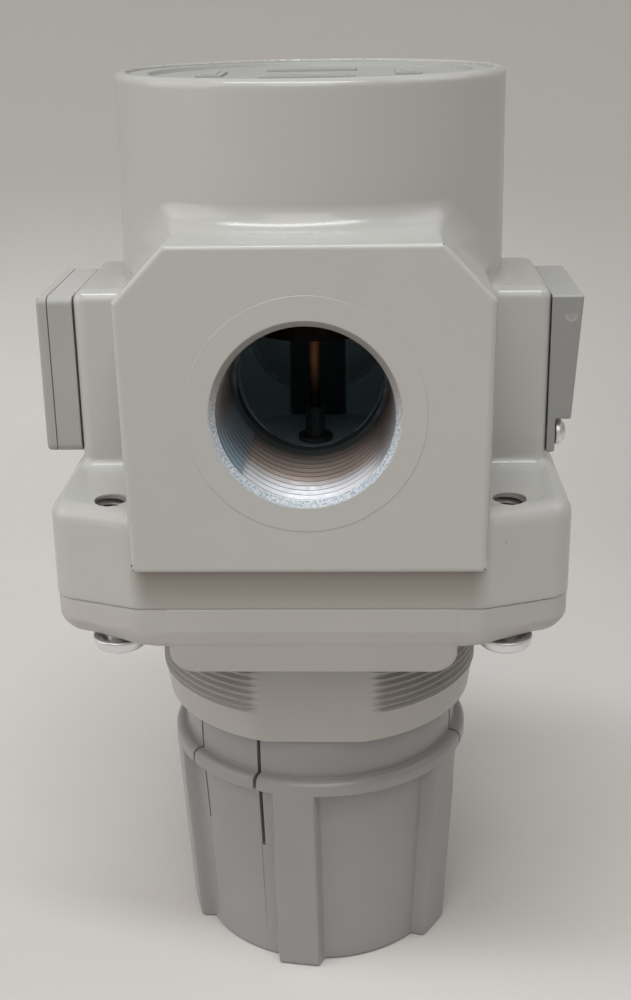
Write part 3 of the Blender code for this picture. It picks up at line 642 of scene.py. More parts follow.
def body_paint():
    """Glossy paint with a few chips, painted shade below the block's overhang, and bare casting inside,
    darkened with painted shade within 28.5 mm of the port faces and pale blue-grey further in.
    """
    g = Graph("body_paint", (0.475, 0.468, 0.446), 0.20)
    x, y, z = g.axes()
    depth, _, across = g.port_places()
    inside = g.maths("MAXIMUM", g.maths("LESS_THAN", g.length(x, y), PLUG_BORE_R - 0.4),
                     g.maths("LESS_THAN", across, PORT_CHAMFER_R))
    inside = g.times(inside, g.maths("LESS_THAN", z, TOP_Z - 3.0))
    chips = None
    for point, size in CHIPS:
        ragged = g.plus(g.distance(point), g.ramp(g.noise(0.4), 0.3, 0.7, -0.25, 0.25))
        chip = g.maths("LESS_THAN", ragged, size)
        chips = chip if chips is None else g.maths("MAXIMUM", chips, chip)
    # painted shade: the paint is darkened and browned below the block's overhang, fading down the flange and
    # away from the port faces
    under = g.times(g.ramp(z, 100.4, 99.6), g.ramp(g.maths("ABSOLUTE", x), 33.5, 30.0))
    under = g.times(under, g.ramp(z, 91.0, 99.6, 0.45, 1.0))
    under = g.times(under, g.ramp(depth, 12.0, 8.0))
    colour = g.mix(under, g.shaded(0.01, 26.0), (0.305, 0.275, 0.245))
    colour = g.mix(chips, colour, (0.06, 0.04, 0.035))
    # painted shade inside the bores: a dark colour within 28.5 mm of the port faces, pale blue-grey further
    # in
    inside_tone_and_shade = g.mix(g.ramp(depth, 28.6, 28.4), (0.60, 0.77, 0.85), (0.08, 0.10, 0.112))
    colour = g.mix(inside, colour, inside_tone_and_shade)
    return g.finish(colour, grain=((0.8, 0.012),), roughness_spread=0.01)


def port_metal():
    """Bare threaded aluminium, browner deeper in, with a blasted chamfer and one bluish patch of thread;
    painted shade darkens the deepest thread, the upper part of the bore and chamfer, and the thread roots.
    """
    g = Graph("port_metal", (0.66, 0.66, 0.69), 0.5)
    depth, up, across = g.port_places()
    colour = g.mix(g.ramp(depth, 6.0, 14.0, smooth=True), g.colour, (0.50, 0.42, 0.385))
    # painted shade: the thread is darkened deeper into the port and over the upper part of the bore, which
    # faces down
    colour = g.mix(g.ramp(depth, 17.0, 25.0, smooth=True), colour, (0.22, 0.19, 0.18))
    colour = g.mix(g.ramp(up, -13.0, -7.5, 0.0, 0.75, smooth=True), colour, (0.13, 0.115, 0.11))
    steps = g.times(g.maths("FRACT", g.maths("DIVIDE", depth, PORT_PITCH)), 0.07)
    bearing = g.plus(g.maths("ARCTAN2", up, g.axes()[0]), steps)
    patch = g.maths("SUBTRACT", g.ramp(bearing, SEAM_BEARING + 0.02, SEAM_BEARING),
                    g.ramp(bearing, -2.7, -3.0, smooth=True), clamp=True)
    colour = g.mix(g.times(patch, 0.85), colour, (0.25, 0.34, 0.42))
    crest = g.ramp(depth, 1.3, PORT_THREAD_LENGTH, PORT_MOUTH_R, PORT_END_R)
    # painted shade: the thread roots are drawn as thin near-black lines, starting a little way in
    root = g.times(g.ramp(g.minus(across, crest), 0.5, 0.72), g.ramp(depth, 1.5, 2.2))
    colour = g.mix(root, colour, (0.012, 0.011, 0.011))
    ragged = g.plus(across, g.ramp(g.noise(0.4, 4.0), 0.3, 0.7, -0.3, 0.3))
    blasted = g.ramp(across, PORT_MOUTH_R + 0.06, PORT_MOUTH_R + 0.12)
    blasted = g.times(blasted, g.ramp(depth, 1.3, 1.2))
    pale = g.mix(g.ramp(g.noise(0.34, 4.0), 0.38, 0.62), (0.27, 0.34, 0.42), (0.68, 0.70, 0.72))
    pale = g.mix(g.ramp(ragged, 16.85, 17.0), pale, (0.52, 0.52, 0.49))
    # painted shade: the upper part of the chamfer, which faces down, is darkened
    pale = g.mix(g.ramp(up, -4.0, 9.0, smooth=True), pale, (0.30, 0.28, 0.26))
    colour = g.mix(blasted, colour, pale)
    g.put(g.shader.inputs["Metallic"], g.ramp(blasted, 0.0, 1.0, 0.35, 0.0))
    return g.finish(colour, grain=((0.25, 0.02), (1.1, 0.015)), roughness_spread=0.12, roughness_size=0.8)


def turned_metal(name, colour, roughness, lines=0.16):
    """Turned or drawn metal with fine lines around it, lines millimetres apart."""
    g = Graph(name, colour, roughness, 1.0)
    tone = g.mix(g.noise(lines * 4, 2.0, (0.15, 0.15, 3.0)), [c * 0.86 for c in colour], colour)
    return g.finish(tone, grain=((lines, 0.004),), roughness_spread=0.1, roughness_size=1.5)


def stem_brass():
    """Oiled brass, darker towards the lower end as painted shade deeper inside the body."""
    g = Graph("stem_brass", (0.80, 0.36, 0.15), 0.6, 0.7)
    z = g.axes()[2]
    # painted shade: the brass goes nearly black towards its lower end, deeper inside the body
    return g.finish(g.mix(g.ramp(z, 130.0, 120.5, smooth=True), g.colour, (0.06, 0.04, 0.035)),
                    grain=((0.16, 0.004),), roughness_spread=0.1)


def painted_top_light(g, tone, top, paling):
    """The tone, made paler as painted light where a piece reaches its top face at z = top."""
    return g.mix(g.ramp(g.axes()[2], top - 0.4, top - 0.05), tone, [c * paling for c in g.colour])


def moulded(name, colour, roughness, grain_size=0.35, grain_height=0.012, drift=0.03, top=None):
    """Moulded plastic, paler on its top face as painted light where top is given."""
    g = Graph(name, colour, roughness)
    tone = g.shaded(drift, 24.0)
    if top is not None:
        tone = painted_top_light(g, tone, top, 1.34)
    return g.finish(tone, grain=((grain_size, grain_height),), roughness_spread=0.02, roughness_size=9.0)


def cover_plastic():
    """The blanking cover's plastic, paler on top as painted light, with a paler moulding mark on each side.
    """
    paling = 1.36
    g = Graph("cover_plastic", (0.30, 0.30, 0.287), 0.44)
    tone = painted_top_light(g, g.shaded(0.04, 24.0), cover_high[2], paling)
    for side in (cover_low[1], cover_high[1]):
        from_mark = g.distance((COVER_MARK[0], side, COVER_MARK[1]))
        mark = g.times(g.ramp(from_mark, 1.25, 1.15), g.ramp(from_mark, 0.75, 0.95, 0.35, 1.0))
        tone = g.mix(mark, tone, [c * paling for c in g.colour])
    return g.finish(tone, grain=((0.3, 0.012),), roughness_spread=0.02, roughness_size=9.0)


def clear_plastic():
    """The gauge's window."""
    g = Graph("window", (0.96, 0.98, 0.98), 0.04)
    g.shader.inputs["Transmission Weight"].default_value = 1.0
    g.shader.inputs["IOR"].default_value = 1.49
    return g.finish(g.shaded(0.01, 9.0), grain=((8.0, 0.004),), roughness_spread=0.01)


# what moulded() takes: colour, roughness, grain size, grain height, drift, top
MOULDINGS = {
    "bonnet_plastic": ((0.455, 0.437, 0.415), 0.36, 0.3, 0.01, 0.03),
    "guide_plastic": ((0.37, 0.375, 0.355), 0.55),
    "knob_plastic": ((0.318, 0.319, 0.318), 0.30, 0.6, 0.006, 0.02),
    "gauge_plastic": ((0.30, 0.30, 0.287), 0.44, 0.3, 0.012, 0.04),
    # the case and the frame are made paler on their top faces as painted light
    "case_plastic": ((0.37, 0.365, 0.35), 0.44, 0.3, 0.012, 0.04, case_high[2]),
    "bezel_plastic": ((0.36, 0.355, 0.335), 0.42, 0.3, 0.010, 0.04, bezel_high[2]),
    # hole_paint is darker than the body paint as painted shade inside the screw holes
    "hole_paint": ((0.17, 0.16, 0.15), 0.4, 0.5, 0.03, 0.1),
    "rubber": ((0.028, 0.028, 0.028), 0.6, 0.4, 0.02),
    "orange_plastic": ((0.75, 0.16, 0.03), 0.42),
    "dial_paint": ((0.82, 0.82, 0.80), 0.5, 0.2, 0.003, 0.02),
    "pointer_paint": ((0.03, 0.03, 0.03), 0.45, 0.2, 0.004),
}

# what turned_metal() takes: colour, roughness
METALS = {
    "zinc_steel": ((0.86, 0.87, 0.87), 0.42),
    "spring_steel": ((0.42, 0.42, 0.44), 0.34),
    "brass": ((0.55, 0.33, 0.16), 0.5),
    # the next two are darkened as painted shade for pieces deep inside the body
    "shade_dark_brass": ((0.035, 0.028, 0.024), 0.7),
    "shade_dark_aluminium": ((0.14, 0.15, 0.16), 0.6),
    "aluminium": ((0.66, 0.67, 0.68), 0.34),
}

LOOKS = {"body_paint": body_paint(), "port_metal": port_metal(), "cover_plastic": cover_plastic(),
         "stem_brass": stem_brass(), "window": clear_plastic()}
LOOKS.update({name: moulded(name, *values) for name, values in MOULDINGS.items()})
LOOKS.update({name: turned_metal(name, *values) for name, values in METALS.items()})

# inner pieces that look different from the rest of their material slot; the seat and the guide are made very
# dark as painted shade for the dim inside of the body
SPECIAL_LOOKS = {"valve_seat": "shade_dark_brass", "stem_guide": "shade_dark_aluminium", "valve_stem": "stem_brass"}

for entry in frame["record"]["subparts"]:
    kept = frame["nodes"][entry["node"]]
    for holder in kept.material_slots:
        holder.material = LOOKS[SPECIAL_LOOKS.get(entry["node"], entry["material_slot"])]


# ---------------------------------------------------------------- body

def make_body():
    """The casting, with a threaded liner and a faint raised ring at each port and painted screw threads."""
    low = (-FLANGE_X, -BLOCK_Y, PARTING_HIGH - SEAM)
    high = (FLANGE_X, BLOCK_Y, TOP_Z)
    casting = contour(body_field, low, high, CAST_STEP)
    piece("body_casting", casting, "body_paint", ["body"], merge=MERGE_ANGLE)
    for sign, name in ((-1, "outlet"), (1, "inlet")):
        piece(f"{name}_thread", facing_y(port_thread(), sign), "port_metal", ["body"])
        piece(f"{name}_face_ring", facing_y(port_ring(), sign), "body_paint", ["body"])
    for i, (x, y) in enumerate(screw_places(), 1):
        piece(f"tapped_hole_{i}", moved(tapped_hole(), (x, y, 0)), "hole_paint", ["body"])


def screw_places():
    return [(x * SCREW_XY, y * SCREW_XY) for y in (-1, 1) for x in (-1, 1)]


def facing_y(shape, sign):
    """Turn a shape drawn about +Z, with its face at z = 0 and its depth below, to a port at -Y or +Y."""
    x, y, z = np.asarray(shape[0], float).T
    return np.stack([-sign * x, sign * (BLOCK_Y + z), y + PORT_Z], 1), shape[1]


def port_thread():
    """The tapered pipe thread, with a fine notch along its seam, and the chamfer and sleeve around it."""
    azimuths = round_azimuths(176)
    step = np.mod(azimuths - SEAM_BEARING, 2 * math.pi)
    notch = 0.12 * ((step < 0.03) | (step > 2 * math.pi - 0.01))
    near, far = -PORT_THREAD_LENGTH, -1.3

    def wall(z, phase):
        crest = PORT_MOUTH_R - (PORT_MOUTH_R - PORT_END_R) * (z - far) / (near - far)
        groove = np.clip(1 - np.minimum(phase, 1 - phase) / 0.42, 0, 1)
        fade = np.clip((far - z) / 0.5, 0, 1) * np.clip((z - near) / 1.5, 0, 1)
        return crest + (groove * PORT_THREAD_DEPTH + notch) * fade

    thread = helix(wall, near, far, PORT_PITCH, azimuths, (0.0, 0.21, 0.42, 0.58, 0.79))
    sleeve = ((PORT_MOUTH_R, far), (PORT_CHAMFER_R - 0.12, -0.1), (PORT_CHAMFER_R, -0.05),
              (PORT_CHAMFER_R + 0.15, -0.1), (PORT_CHAMFER_R + 0.9, -0.7), (PORT_CHAMFER_R + 0.9, near),
              (PORT_END_R, near))
    return together(thread, loft(circle_rows(sleeve, azimuths), capped=False))


def port_ring():
    """The faint raised disc around a port."""
    inner = PORT_CHAMFER_R + 0.05
    corners = ((inner, -0.4), (inner, 0.0), (PORT_RING_R, 0.0), (PORT_RING_R + 0.12, -0.4))
    profile = rounded_profile(corners, (0, 0.1, 0.08, 0), 3)
    return loft(circle_rows(profile, round_azimuths(160)), closed=True)


def tapped_hole():
    """A painted thread liner below a flange screw hole, open below for the screw's end; its paint is darker
    than the body's as painted shade inside the hole.
    """
    azimuths = round_azimuths(40)
    top, bottom = FLANGE_TOP_Z - 0.45, FLANGE_TOP_Z - 6.6
    bore_r, liner_r, pitch, depth = 3.02, 3.3, 1.25, 0.55

    def wall(z, phase):
        groove = np.clip(1.25 - 2.5 * np.minimum(phase, 1 - phase), 0, 1)
        fade = np.clip((top - z) / 0.2, 0, 1) * np.clip((z - bottom) / 0.2, 0, 1)
        return bore_r - depth * (1 - groove) * fade

    thread = helix(wall, bottom, top, pitch, azimuths, (0.0, 0.1, 0.48, 0.52, 0.9))
    liner = ((bore_r, top), (bore_r + 0.1, top + 0.2), (liner_r, top), (liner_r, bottom), (bore_r, bottom))
    return together(thread, loft(circle_rows(liner, azimuths), capped=False))


def rounded_outline(corners, radius, steps=6):
    """A closed outline with every corner replaced by an arc."""
    return rounded_profile([corners[-1], *corners, corners[0]], radius, steps)[1:-1]


def make_flange_land():
    """The slightly raised flat of the flange's top, with a crisp edge outside the screw holes."""
    rows = []
    for inset, z in ((0.0, FLANGE_TOP_Z - LAND_RISE - 0.3), (0.0, FLANGE_TOP_Z - 0.05), (0.06, FLANGE_TOP_Z)):
        flat = rounded_outline(flange_corners(LAND_INSET + inset), 4.0)
        rows.append([(x, y, z) for x, y in flat])
    land = piece("flange_land", loft(rows), "body_paint", ["body"])
    well, hole = (round_bar(radius, FLANGE_TOP_Z - 2, FLANGE_TOP_Z + 2, count)
                  for radius, count in ((34.0, 64), (SCREW_HOLE_R + 0.04, 48)))
    cut_from(land, [well] + [moved(hole, (x, y, 0)) for x, y in screw_places()])


def make_top_disc():
    """The valve guide: a nearly flush top disc with hollow raised bars inside a fine rim groove."""
    rim_r, face_z, floor_z = guide_high[0], guide_high[2], guide_high[2] - 0.8
    profile = rounded_profile(
        ((0.5, guide_low[2] + 26), (7.4, guide_low[2] + 26), (7.4, guide_low[2]), (8.6, guide_low[2]),
         (8.6, SHOULDER_Z + 0.3), (rim_r, SHOULDER_Z + 0.3), (rim_r, 175.0), (32.2, 175.0), (32.2, 178.2),
         (rim_r, 178.2), (rim_r, face_z), (31.2, face_z), (30.8, floor_z), (6.0, floor_z),
         (5.6, floor_z - 0.6), (0.5, floor_z - 0.6)),
        [0, 0.2, 0.3, 0.3, 0.3, 0.3, 0.2, 0.2, 0.2, 0.2, 0.3, 0.2, 0.25, 0.25, 0.25, 0], 3)
    disc = loft(circle_rows(profile, round_azimuths(144)))
    bars = []
    for x, y, length, width in ((0, 12, 18, 5), (0, -12, 18, 5), (-19, 0, 5, 14), (19, 0, 5, 14)):
        for hollow in (0.0, 1.1):
            low = (x - length / 2 + hollow, y - width / 2 + hollow, floor_z - 0.8)
            high = (x + length / 2 - hollow, y + width / 2 - hollow, floor_z + 0.45 + hollow * 0.15)
            bars.append(soft_box(low, high, 0.15, 2))
    piece("top_disc", together(disc, *bars), "guide_plastic", ["valve_guide"])


# ---------------------------------------------------------------- bonnet

def make_bonnet():
    """The bonnet's flange, its threaded neck, and the two keys that hold the nut inside."""
    low = (-FLANGE_X, -FLANGE_Y, SKIRT_Z)
    high = (FLANGE_X, FLANGE_Y, PARTING_LOW + SEAM)
    flange = contour(bonnet_field, low, high, CAST_STEP * 0.9)
    piece("bonnet_flange", flange, "bonnet_plastic", ["bonnet"], merge=MERGE_ANGLE)
    piece("bonnet_neck", neck(), "bonnet_plastic", ["bonnet"])
    half = np.array((0.9, 2.0, 17.75))
    middles = [np.array((side * 22.2, 0.0, 58.25)) for side in (-1, 1)]
    keys = [soft_box(middle - half, middle + half, 0.3, 2) for middle in middles]
    piece("nut_keys", together(*keys), "bonnet_plastic", ["bonnet"])


def neck():
    """The bonnet's threaded neck with its two flats, the pocket for the knob's collar, and the inner tube."""
    azimuths = round_azimuths(288)
    top_z, pitch, depth, soft = BONNET_FLANGE_Z + 2.0, 1.5, 0.95, 0.1
    flat = np.minimum(NECK_FLAT_Y / np.maximum(np.abs(np.sin(azimuths)), 1e-6), 40.0)

    def trimmed(radius):
        near, far = np.minimum(radius, flat), np.maximum(radius, flat)
        return near - soft * np.log1p(np.exp((near - far) / soft))

    def wall(z, phase):
        away = 2 * np.minimum(phase, 1 - phase)
        groove = np.clip((away - 0.1) / 0.42, 0, 1)
        fade = np.clip((z - THREAD_END_Z) / 0.5, 0, 1) * np.clip((top_z - z) / 0.5, 0, 1)
        return trimmed(NECK_R - depth * groove * fade)

    thread = helix(wall, THREAD_END_Z, top_z, pitch, azimuths, (0.0, 0.05, 0.26, 0.5, 0.74, 0.95))
    rim = rounded_profile(((NECK_R, THREAD_END_Z), (33.9, THREAD_END_Z - 0.7), (NECK_RIM_R, NECK_RIM_Z),
                           (POCKET_R, NECK_RIM_Z)), (0, 0.3, 0.45, 0), 4)
    inner = rounded_profile(((NECK_RIM_R - 1.0, NECK_RIM_Z), (POCKET_R, NECK_RIM_Z), (POCKET_R, POCKET_TOP_Z),
                             (TUBE_R, POCKET_TOP_Z), (TUBE_R, TUBE_END_Z), (6.6, TUBE_END_Z), (6.6, 41.0),
                             (TUBE_BORE_R, 41.0), (TUBE_BORE_R, 77.0), (31.0, 80.5), (31.0, top_z),
                             (NECK_R, top_z)), (0, 0.3, 0.4, 0.4, 0.5, 0.4, 0.2, 0.3, 0.4, 0.4, 0, 0), 3)
    rows = [ring(trimmed(r), z, azimuths) for r, z in rim[:-1]] + circle_rows(inner[1:-1], azimuths)
    rows.append(ring(trimmed(NECK_R), top_z, azimuths))
    return together(thread, loft(rows, capped=False))


# ---------------------------------------------------------------- screws

def cross_slots(reach, depth, z):
    """The two bars of a cross recess, as closed wedges that narrow with depth, which goes along +Z."""
    arms = []
    for turn in (0.0, 90.0):
        points, faces = slab((-reach, -reach * 0.2, z - 1.0), (reach, reach * 0.2, z + depth), turn)
        middle = points[4:].mean(0)
        points[4:, :2] = middle[:2] + (points[4:, :2] - middle[:2]) * 0.5
        arms.append((points, faces))
    return arms


def make_bonnet_screws():
    """Four pan head screws with cross recesses, each turned a little differently."""
    head_low, end_z = screw_low[2], screw_high[2]
    head_r = (screw_high[0] - screw_low[0]) / 2
    under = BONNET_FLANGE_Z - 0.3
    azimuths = round_azimuths(56)
    corners = ((0.3, head_low), (head_r * 0.55, head_low + 0.15), (head_r - 0.4, head_low + 1.2),
               (head_r, under - 0.5), (head_r - 0.1, under), (3.0, under))
    rows = circle_rows(rounded_profile(corners, (0, 1.5, 1.0, 0.4, 0.15, 0), 4), azimuths)
    for z in np.arange(under + 0.2, end_z - 0.7, 0.14):
        rows.append(ring(2.45 + 0.5 * ridge(z - azimuths / (2 * math.pi), 0.12, 0.12), z, azimuths))
    rows += circle_rows(((2.3, end_z - 0.4), (1.9, end_z)), azimuths)
    shape = loft(rows)
    for i, (x, y) in enumerate(screw_places(), 1):
        screw = piece(f"cap_screw_{i}", moved(shape, (x, y, 0)), "zinc_steel", [f"bonnet_screw_{i}"])
        turn = Matrix.Rotation(math.radians(20 + 31 * i), 3, "Z")
        for arm in cross_slots(head_r * 0.62, 1.9, head_low):
            cut_from(screw, [moved(arm, (x, y, 0), turn)])


# ---------------------------------------------------------------- knob

def knob_azimuths():
    """Degrees around the knob, closer together at the ribs' sides and at the slits."""
    side = np.arange(6.4, 12.8, 0.4)
    near = np.concatenate([-side, side, np.arange(-5.2, 5.3, 1.3)])
    made = [rib + offset for rib in RIBS for offset in near]
    made += [a for a in np.arange(-90.0, 270.0, 1.8) if min(abs(a - rib) for rib in RIBS) > RIB_SPAN]
    made += [slit + d for slit in SLITS for d in (-1.3, -1.1, -0.9, -0.7, -0.4, 0.4)]
    made = sorted(set(round(a % 360.0, 2) for a in made))
    return np.array([a for a, b in zip(made, made[1:] + [made[0] + 360.0]) if b - a > 0.12])


def smooth_step(value):
    value = np.clip(value, 0, 1)
    return value * value * (3 - 2 * value)


def knob():
    """The knob from its end face up its ribbed wall, over the lip and collar, and down its hollow inside."""
    degrees = knob_azimuths()
    azimuths = np.radians(degrees - 90.0)
    away = (degrees[:, None] - np.array(RIBS)[None, :] + 180.0) % 360.0 - 180.0
    offset = away[np.arange(len(degrees)), np.abs(away).argmin(1)]

    def wall(z):
        taper = KNOB_TAPER * z / LIP_LOW
        panel, rib = PANEL_R + taper, RIB_R + taper
        lateral = np.abs(rib * np.sin(np.radians(np.clip(offset, -30, 30))))
        climb = (RIB_FOOT - lateral) / (RIB_FOOT - RIB_FACE)
        climb = 0.4 * smooth_step(climb) + 0.6 * np.clip(climb, 0, 1)
        flatness = 0.8 * smooth_step((LIP_LOW - 2.0 - z) / 8.0)
        face = rib * (1 + flatness * (1 / np.cos(np.radians(np.clip(offset, -8.5, 8.5))) - 1.003))
        radius = panel + (face - panel) * climb
        for slit in SLITS[:2]:
            crease = np.abs(degrees - (slit % 360.0) + 1.0) < 0.15
            radius = radius - 0.12 * crease * smooth_step((29.5 - z) / 1.0) * smooth_step((z - 5.0) / 3.0)
        return radius

    edge = 0.9
    end_face = ((1.6, 0.25), (1.9, 0.0), (21.4, 0.0), (21.8, 0.3), (22.6, 0.3), (23.0, 0.0))
    rows = circle_rows(end_face, azimuths)
    for angle in np.linspace(0, math.pi / 2, 6):
        radius = wall(0.0) - edge + edge * math.sin(angle)
        rows.append(ring(radius, edge - edge * math.cos(angle), azimuths))
    for z in (3.0, 6.0, 10.0, 15.0, 20.0, 25.0, 28.5, 29.0, 29.5, 30.5, 33.0, 35.5, 38.0, 40.0, 41.5, 42.6):
        rows.append(ring(wall(z), z, azimuths))
    top_wall = wall(LIP_LOW)
    top_r = PANEL_R + KNOB_TAPER
    for step in np.linspace(0, 1, 8):
        lip = top_r + (LIP_R - top_r) * (1 - math.sqrt(max(1 - step ** 2, 0))) ** 0.6
        rows.append(ring(np.maximum(np.minimum(top_wall, LIP_R), lip), 43.1 + 1.1 * step, azimuths))
    corners = ((LIP_R, LIP_LOW + 0.3), (LIP_R, LIP_HIGH), (COLLAR_R, LIP_HIGH), (COLLAR_R, knob_high[2]),
               (KNOB_BORE_R, knob_high[2]), (KNOB_BORE_R, 28.0), (25.1, 3.0), (10.5, 3.0), (10.0, 29.0),
               (7.4, 29.0), (7.1, 5.0), (0.5, 5.0))
    radii = (0, 1.5, 0.15, 0.4, 0.4, 0.5, 1.0, 0.8, 0.3, 0.3, 0.2, 0)
    return loft(rows + circle_rows(rounded_profile(corners, radii, 6), azimuths))


def make_knob():
    """The knob, slit through its collar and down its wall at each side of its snap fingers."""
    made = piece("knob_shell", knob(), "knob_plastic", ["knob"], body="knob")
    inner_y = -26.0
    cutters = []
    for azimuth, width in zip(SLITS, SLIT_WIDTHS):
        low = 29.4 if width < 0.7 else 28.9
        cutters.append(slab((-width / 2, -34.5, 43.2), (width / 2, inner_y, knob_high[2] + 2), azimuth))
        cutters.append(slab((-width / 2, -32.0, low), (width / 2, inner_y, 42.4), azimuth))
    cut_from(made, cutters)


# ---------------------------------------------------------------- gauge and cover

def square_rows(half, corner, heights):
    """Rows of a rounded square about Z from (inset, height)."""
    rows = []
    for inset, height in heights:
        side, turn_r = half - inset, max(corner - inset, 0.15)
        row = []
        for k in range(4):
            middle = np.array([side - turn_r, side - turn_r]) @ np.array(
                [(math.cos(k * math.pi / 2), math.sin(k * math.pi / 2)),
                 (-math.sin(k * math.pi / 2), math.cos(k * math.pi / 2))])
            for angle in np.linspace(0, math.pi / 2, 6):
                a = angle + k * math.pi / 2
                row.append((middle[0] + turn_r * math.cos(a), middle[1] + turn_r * math.sin(a), height))
        rows.append(row)
    return rows


def facing_left(shape):
    """Turn a shape drawn about +Z, with z as the distance from the main axis, to the gauge on -X."""
    points = np.asarray(shape[0], float)
    return np.stack([-points[:, 2], points[:, 0], points[:, 1] + GAUGE_Z], 1), shape[1]


def make_gauge():
    """The gauge's case, the frame around its window, and its dial's marks."""
    back, joint = -case_high[0], -case_low[0]
    low, high = -bezel_high[0], -bezel_low[0]
    case = ((0.1, back - 0.2), (0.0, back - 0.1), (0.0, joint + 0.1), (0.06, joint + 0.14),
            (1.9, joint + 0.14), (1.9, back + 1.2), (10.6, back + 1.2), (10.6, back - 0.2))
    front = ((0.06, low), (0.0, low + 0.06), (0.0, high - 0.7), (0.12, high - 0.35), (0.35, high - 0.1),
             (0.7, high), (2.0, high), (2.4, high - 0.25), (2.7, high - 0.6), (2.7, low))
    for name, heights, look, node in (("gauge_body", case, "case_plastic", "gauge_case"),
                                      ("gauge_frame", front, "bezel_plastic", "gauge_bezel")):
        rows = square_rows(bezel_high[1], GAUGE_CORNER_R, heights)
        piece(name, facing_left(loft(rows, closed=True)), look, [node])
    make_dial_marks()


def make_dial_marks():
    """Scale lines and numbers printed on the dial."""
    height = -node_box("gauge_dial")[0][0]
    zero, sweep, divisions, numbers = 225.0, 270.0, 50, 5
    line_end_r, number_r = 11.6, 7.6
    lines = []
    for i in range(divisions + 1):
        angle = math.radians(zero - sweep * i / divisions)
        inner, width = (9.6, 0.16) if i % 5 == 0 else (10.5, 0.09)
        line = slab((inner, -width, height), (line_end_r, width, height + 0.03))
        lines.append(moved(line, matrix=Matrix.Rotation(angle, 3, "Z")))
    piece("dial_lines", facing_left(together(*lines)), "pointer_paint")
    for i in range(numbers + 1):
        angle = math.radians(zero - sweep * i / numbers)
        label(f"dial_number_{i}", "0" if i == 0 else f"{i / numbers:.1f}", 2.0,
              (number_r * math.cos(angle), number_r * math.sin(angle)), height)
    label("dial_unit", "MPa", 2.2, (0.0, -6.6), height)


def label(name, text, size, place, height):
    """Printed words as a thin piece on the dial, which is read from -X, where +Y runs to the left."""
    thickness = 0.015
    curve = bpy.data.curves.new(name, "FONT")
    curve.body, curve.size, curve.extrude = text, size, thickness
    curve.align_x, curve.align_y = "CENTER", "CENTER"
    words = bpy.data.objects.new(name, curve)
    mesh = bpy.data.meshes.new_from_object(words)
    points = [(-v.co.x - place[0], v.co.y + place[1], v.co.z + height + thickness) for v in mesh.vertices]
    faces = [tuple(p.vertices) for p in mesh.polygons]
    bpy.data.objects.remove(words)
    piece(name, facing_left((points, faces)), "pointer_paint")


def make_cover():
    """The blanking cover: a wedge over a thinner foot, with its screw holes and a round moulding mark."""
    inner, outer = cover_low[0] - 0.2, cover_high[0]
    half, low_z, high_z = cover_high[1], cover_low[2], cover_high[2]
    side = ((inner, low_z), (COVER_FOOT_X, low_z), (COVER_FOOT_X, COVER_STEP_Z),
            (outer - COVER_SLANT, COVER_STEP_Z), (outer, high_z), (inner, high_z))
    bm = bmesh.new()
    loops = [[bm.verts.new((x, y, z)) for x, z in side] for y in (-half, half)]
    for i in range(len(side)):
        j = (i + 1) % len(side)
        bm.faces.new((loops[0][i], loops[0][j], loops[1][j], loops[1][i]))
    bm.faces.new(loops[0][::-1])
    bm.faces.new(loops[1])
    bmesh.ops.recalc_face_normals(bm, faces=bm.faces)
    hard = [e for e in bm.edges if max(v.co.x for v in e.verts) > inner + 0.1 and e.calc_face_angle(0) > 0.5]
    bmesh.ops.bevel(bm, geom=hard, offset=0.45, offset_type="OFFSET", segments=3, profile=0.5, affect="EDGES",
                    clamp_overlap=True)
    bm.verts.index_update()
    shape = [tuple(v.co) for v in bm.verts], [tuple(v.index for v in f.verts) for f in bm.faces]
    bm.free()
    made = piece("blanking_cover", shape, "cover_plastic", ["cover_plate"])
    mark = moved(round_bar(1.1, -0.12, 1.0, 32), (COVER_MARK[0], -half, COVER_MARK[1]),
                 Matrix.Rotation(math.pi / 2, 3, "X"))
    screw_y = (small_screw_low[1] + small_screw_high[1]) / 2
    screw_z = (small_screw_low[2] + small_screw_high[2]) / 2
    hole = round_bar(1.7, inner - 1, COVER_FOOT_X + 2, 32)
    quarter = Matrix.Rotation(math.pi / 2, 3, "Y")
    cut_from(made, [mark] + [moved(hole, (0, y, screw_z), quarter) for y in (-screw_y, screw_y)])
    make_cover_screws(screw_y, screw_z, quarter)


def make_cover_screws(screw_y, screw_z, quarter):
    """Two small cheese head screws, turned a quarter to lie along +X."""
    tip, outer = small_screw_low[0], small_screw_high[0]
    head_r = (small_screw_high[2] - small_screw_low[2]) / 2
    under = outer - 2.1
    corners = ((0.2, tip), (1.2, tip), (1.45, tip + 0.4), (1.45, under), (head_r, under),
               (head_r, under + 1.0), (head_r * 0.55, outer - 0.15), (0.2, outer))
    profile = rounded_profile(corners, (0, 0, 0, 0.1, 0.15, 0.6, 0.6, 0), 4)
    shape = loft(circle_rows(profile, round_azimuths(32)))
    flip = quarter @ Matrix.Rotation(math.pi, 3, "X")
    for i, y in enumerate((-screw_y, screw_y), 1):
        screw = piece(f"small_screw_{i}", moved(shape, (0, y, screw_z), quarter), "zinc_steel",
                      [f"cover_screw_{i}"])
        for arm in cross_slots(head_r * 0.6, 1.2, -outer):
            cut_from(screw, [moved(arm, (0, y, screw_z), flip)])


# ---------------------------------------------------------------- stage, light and camera

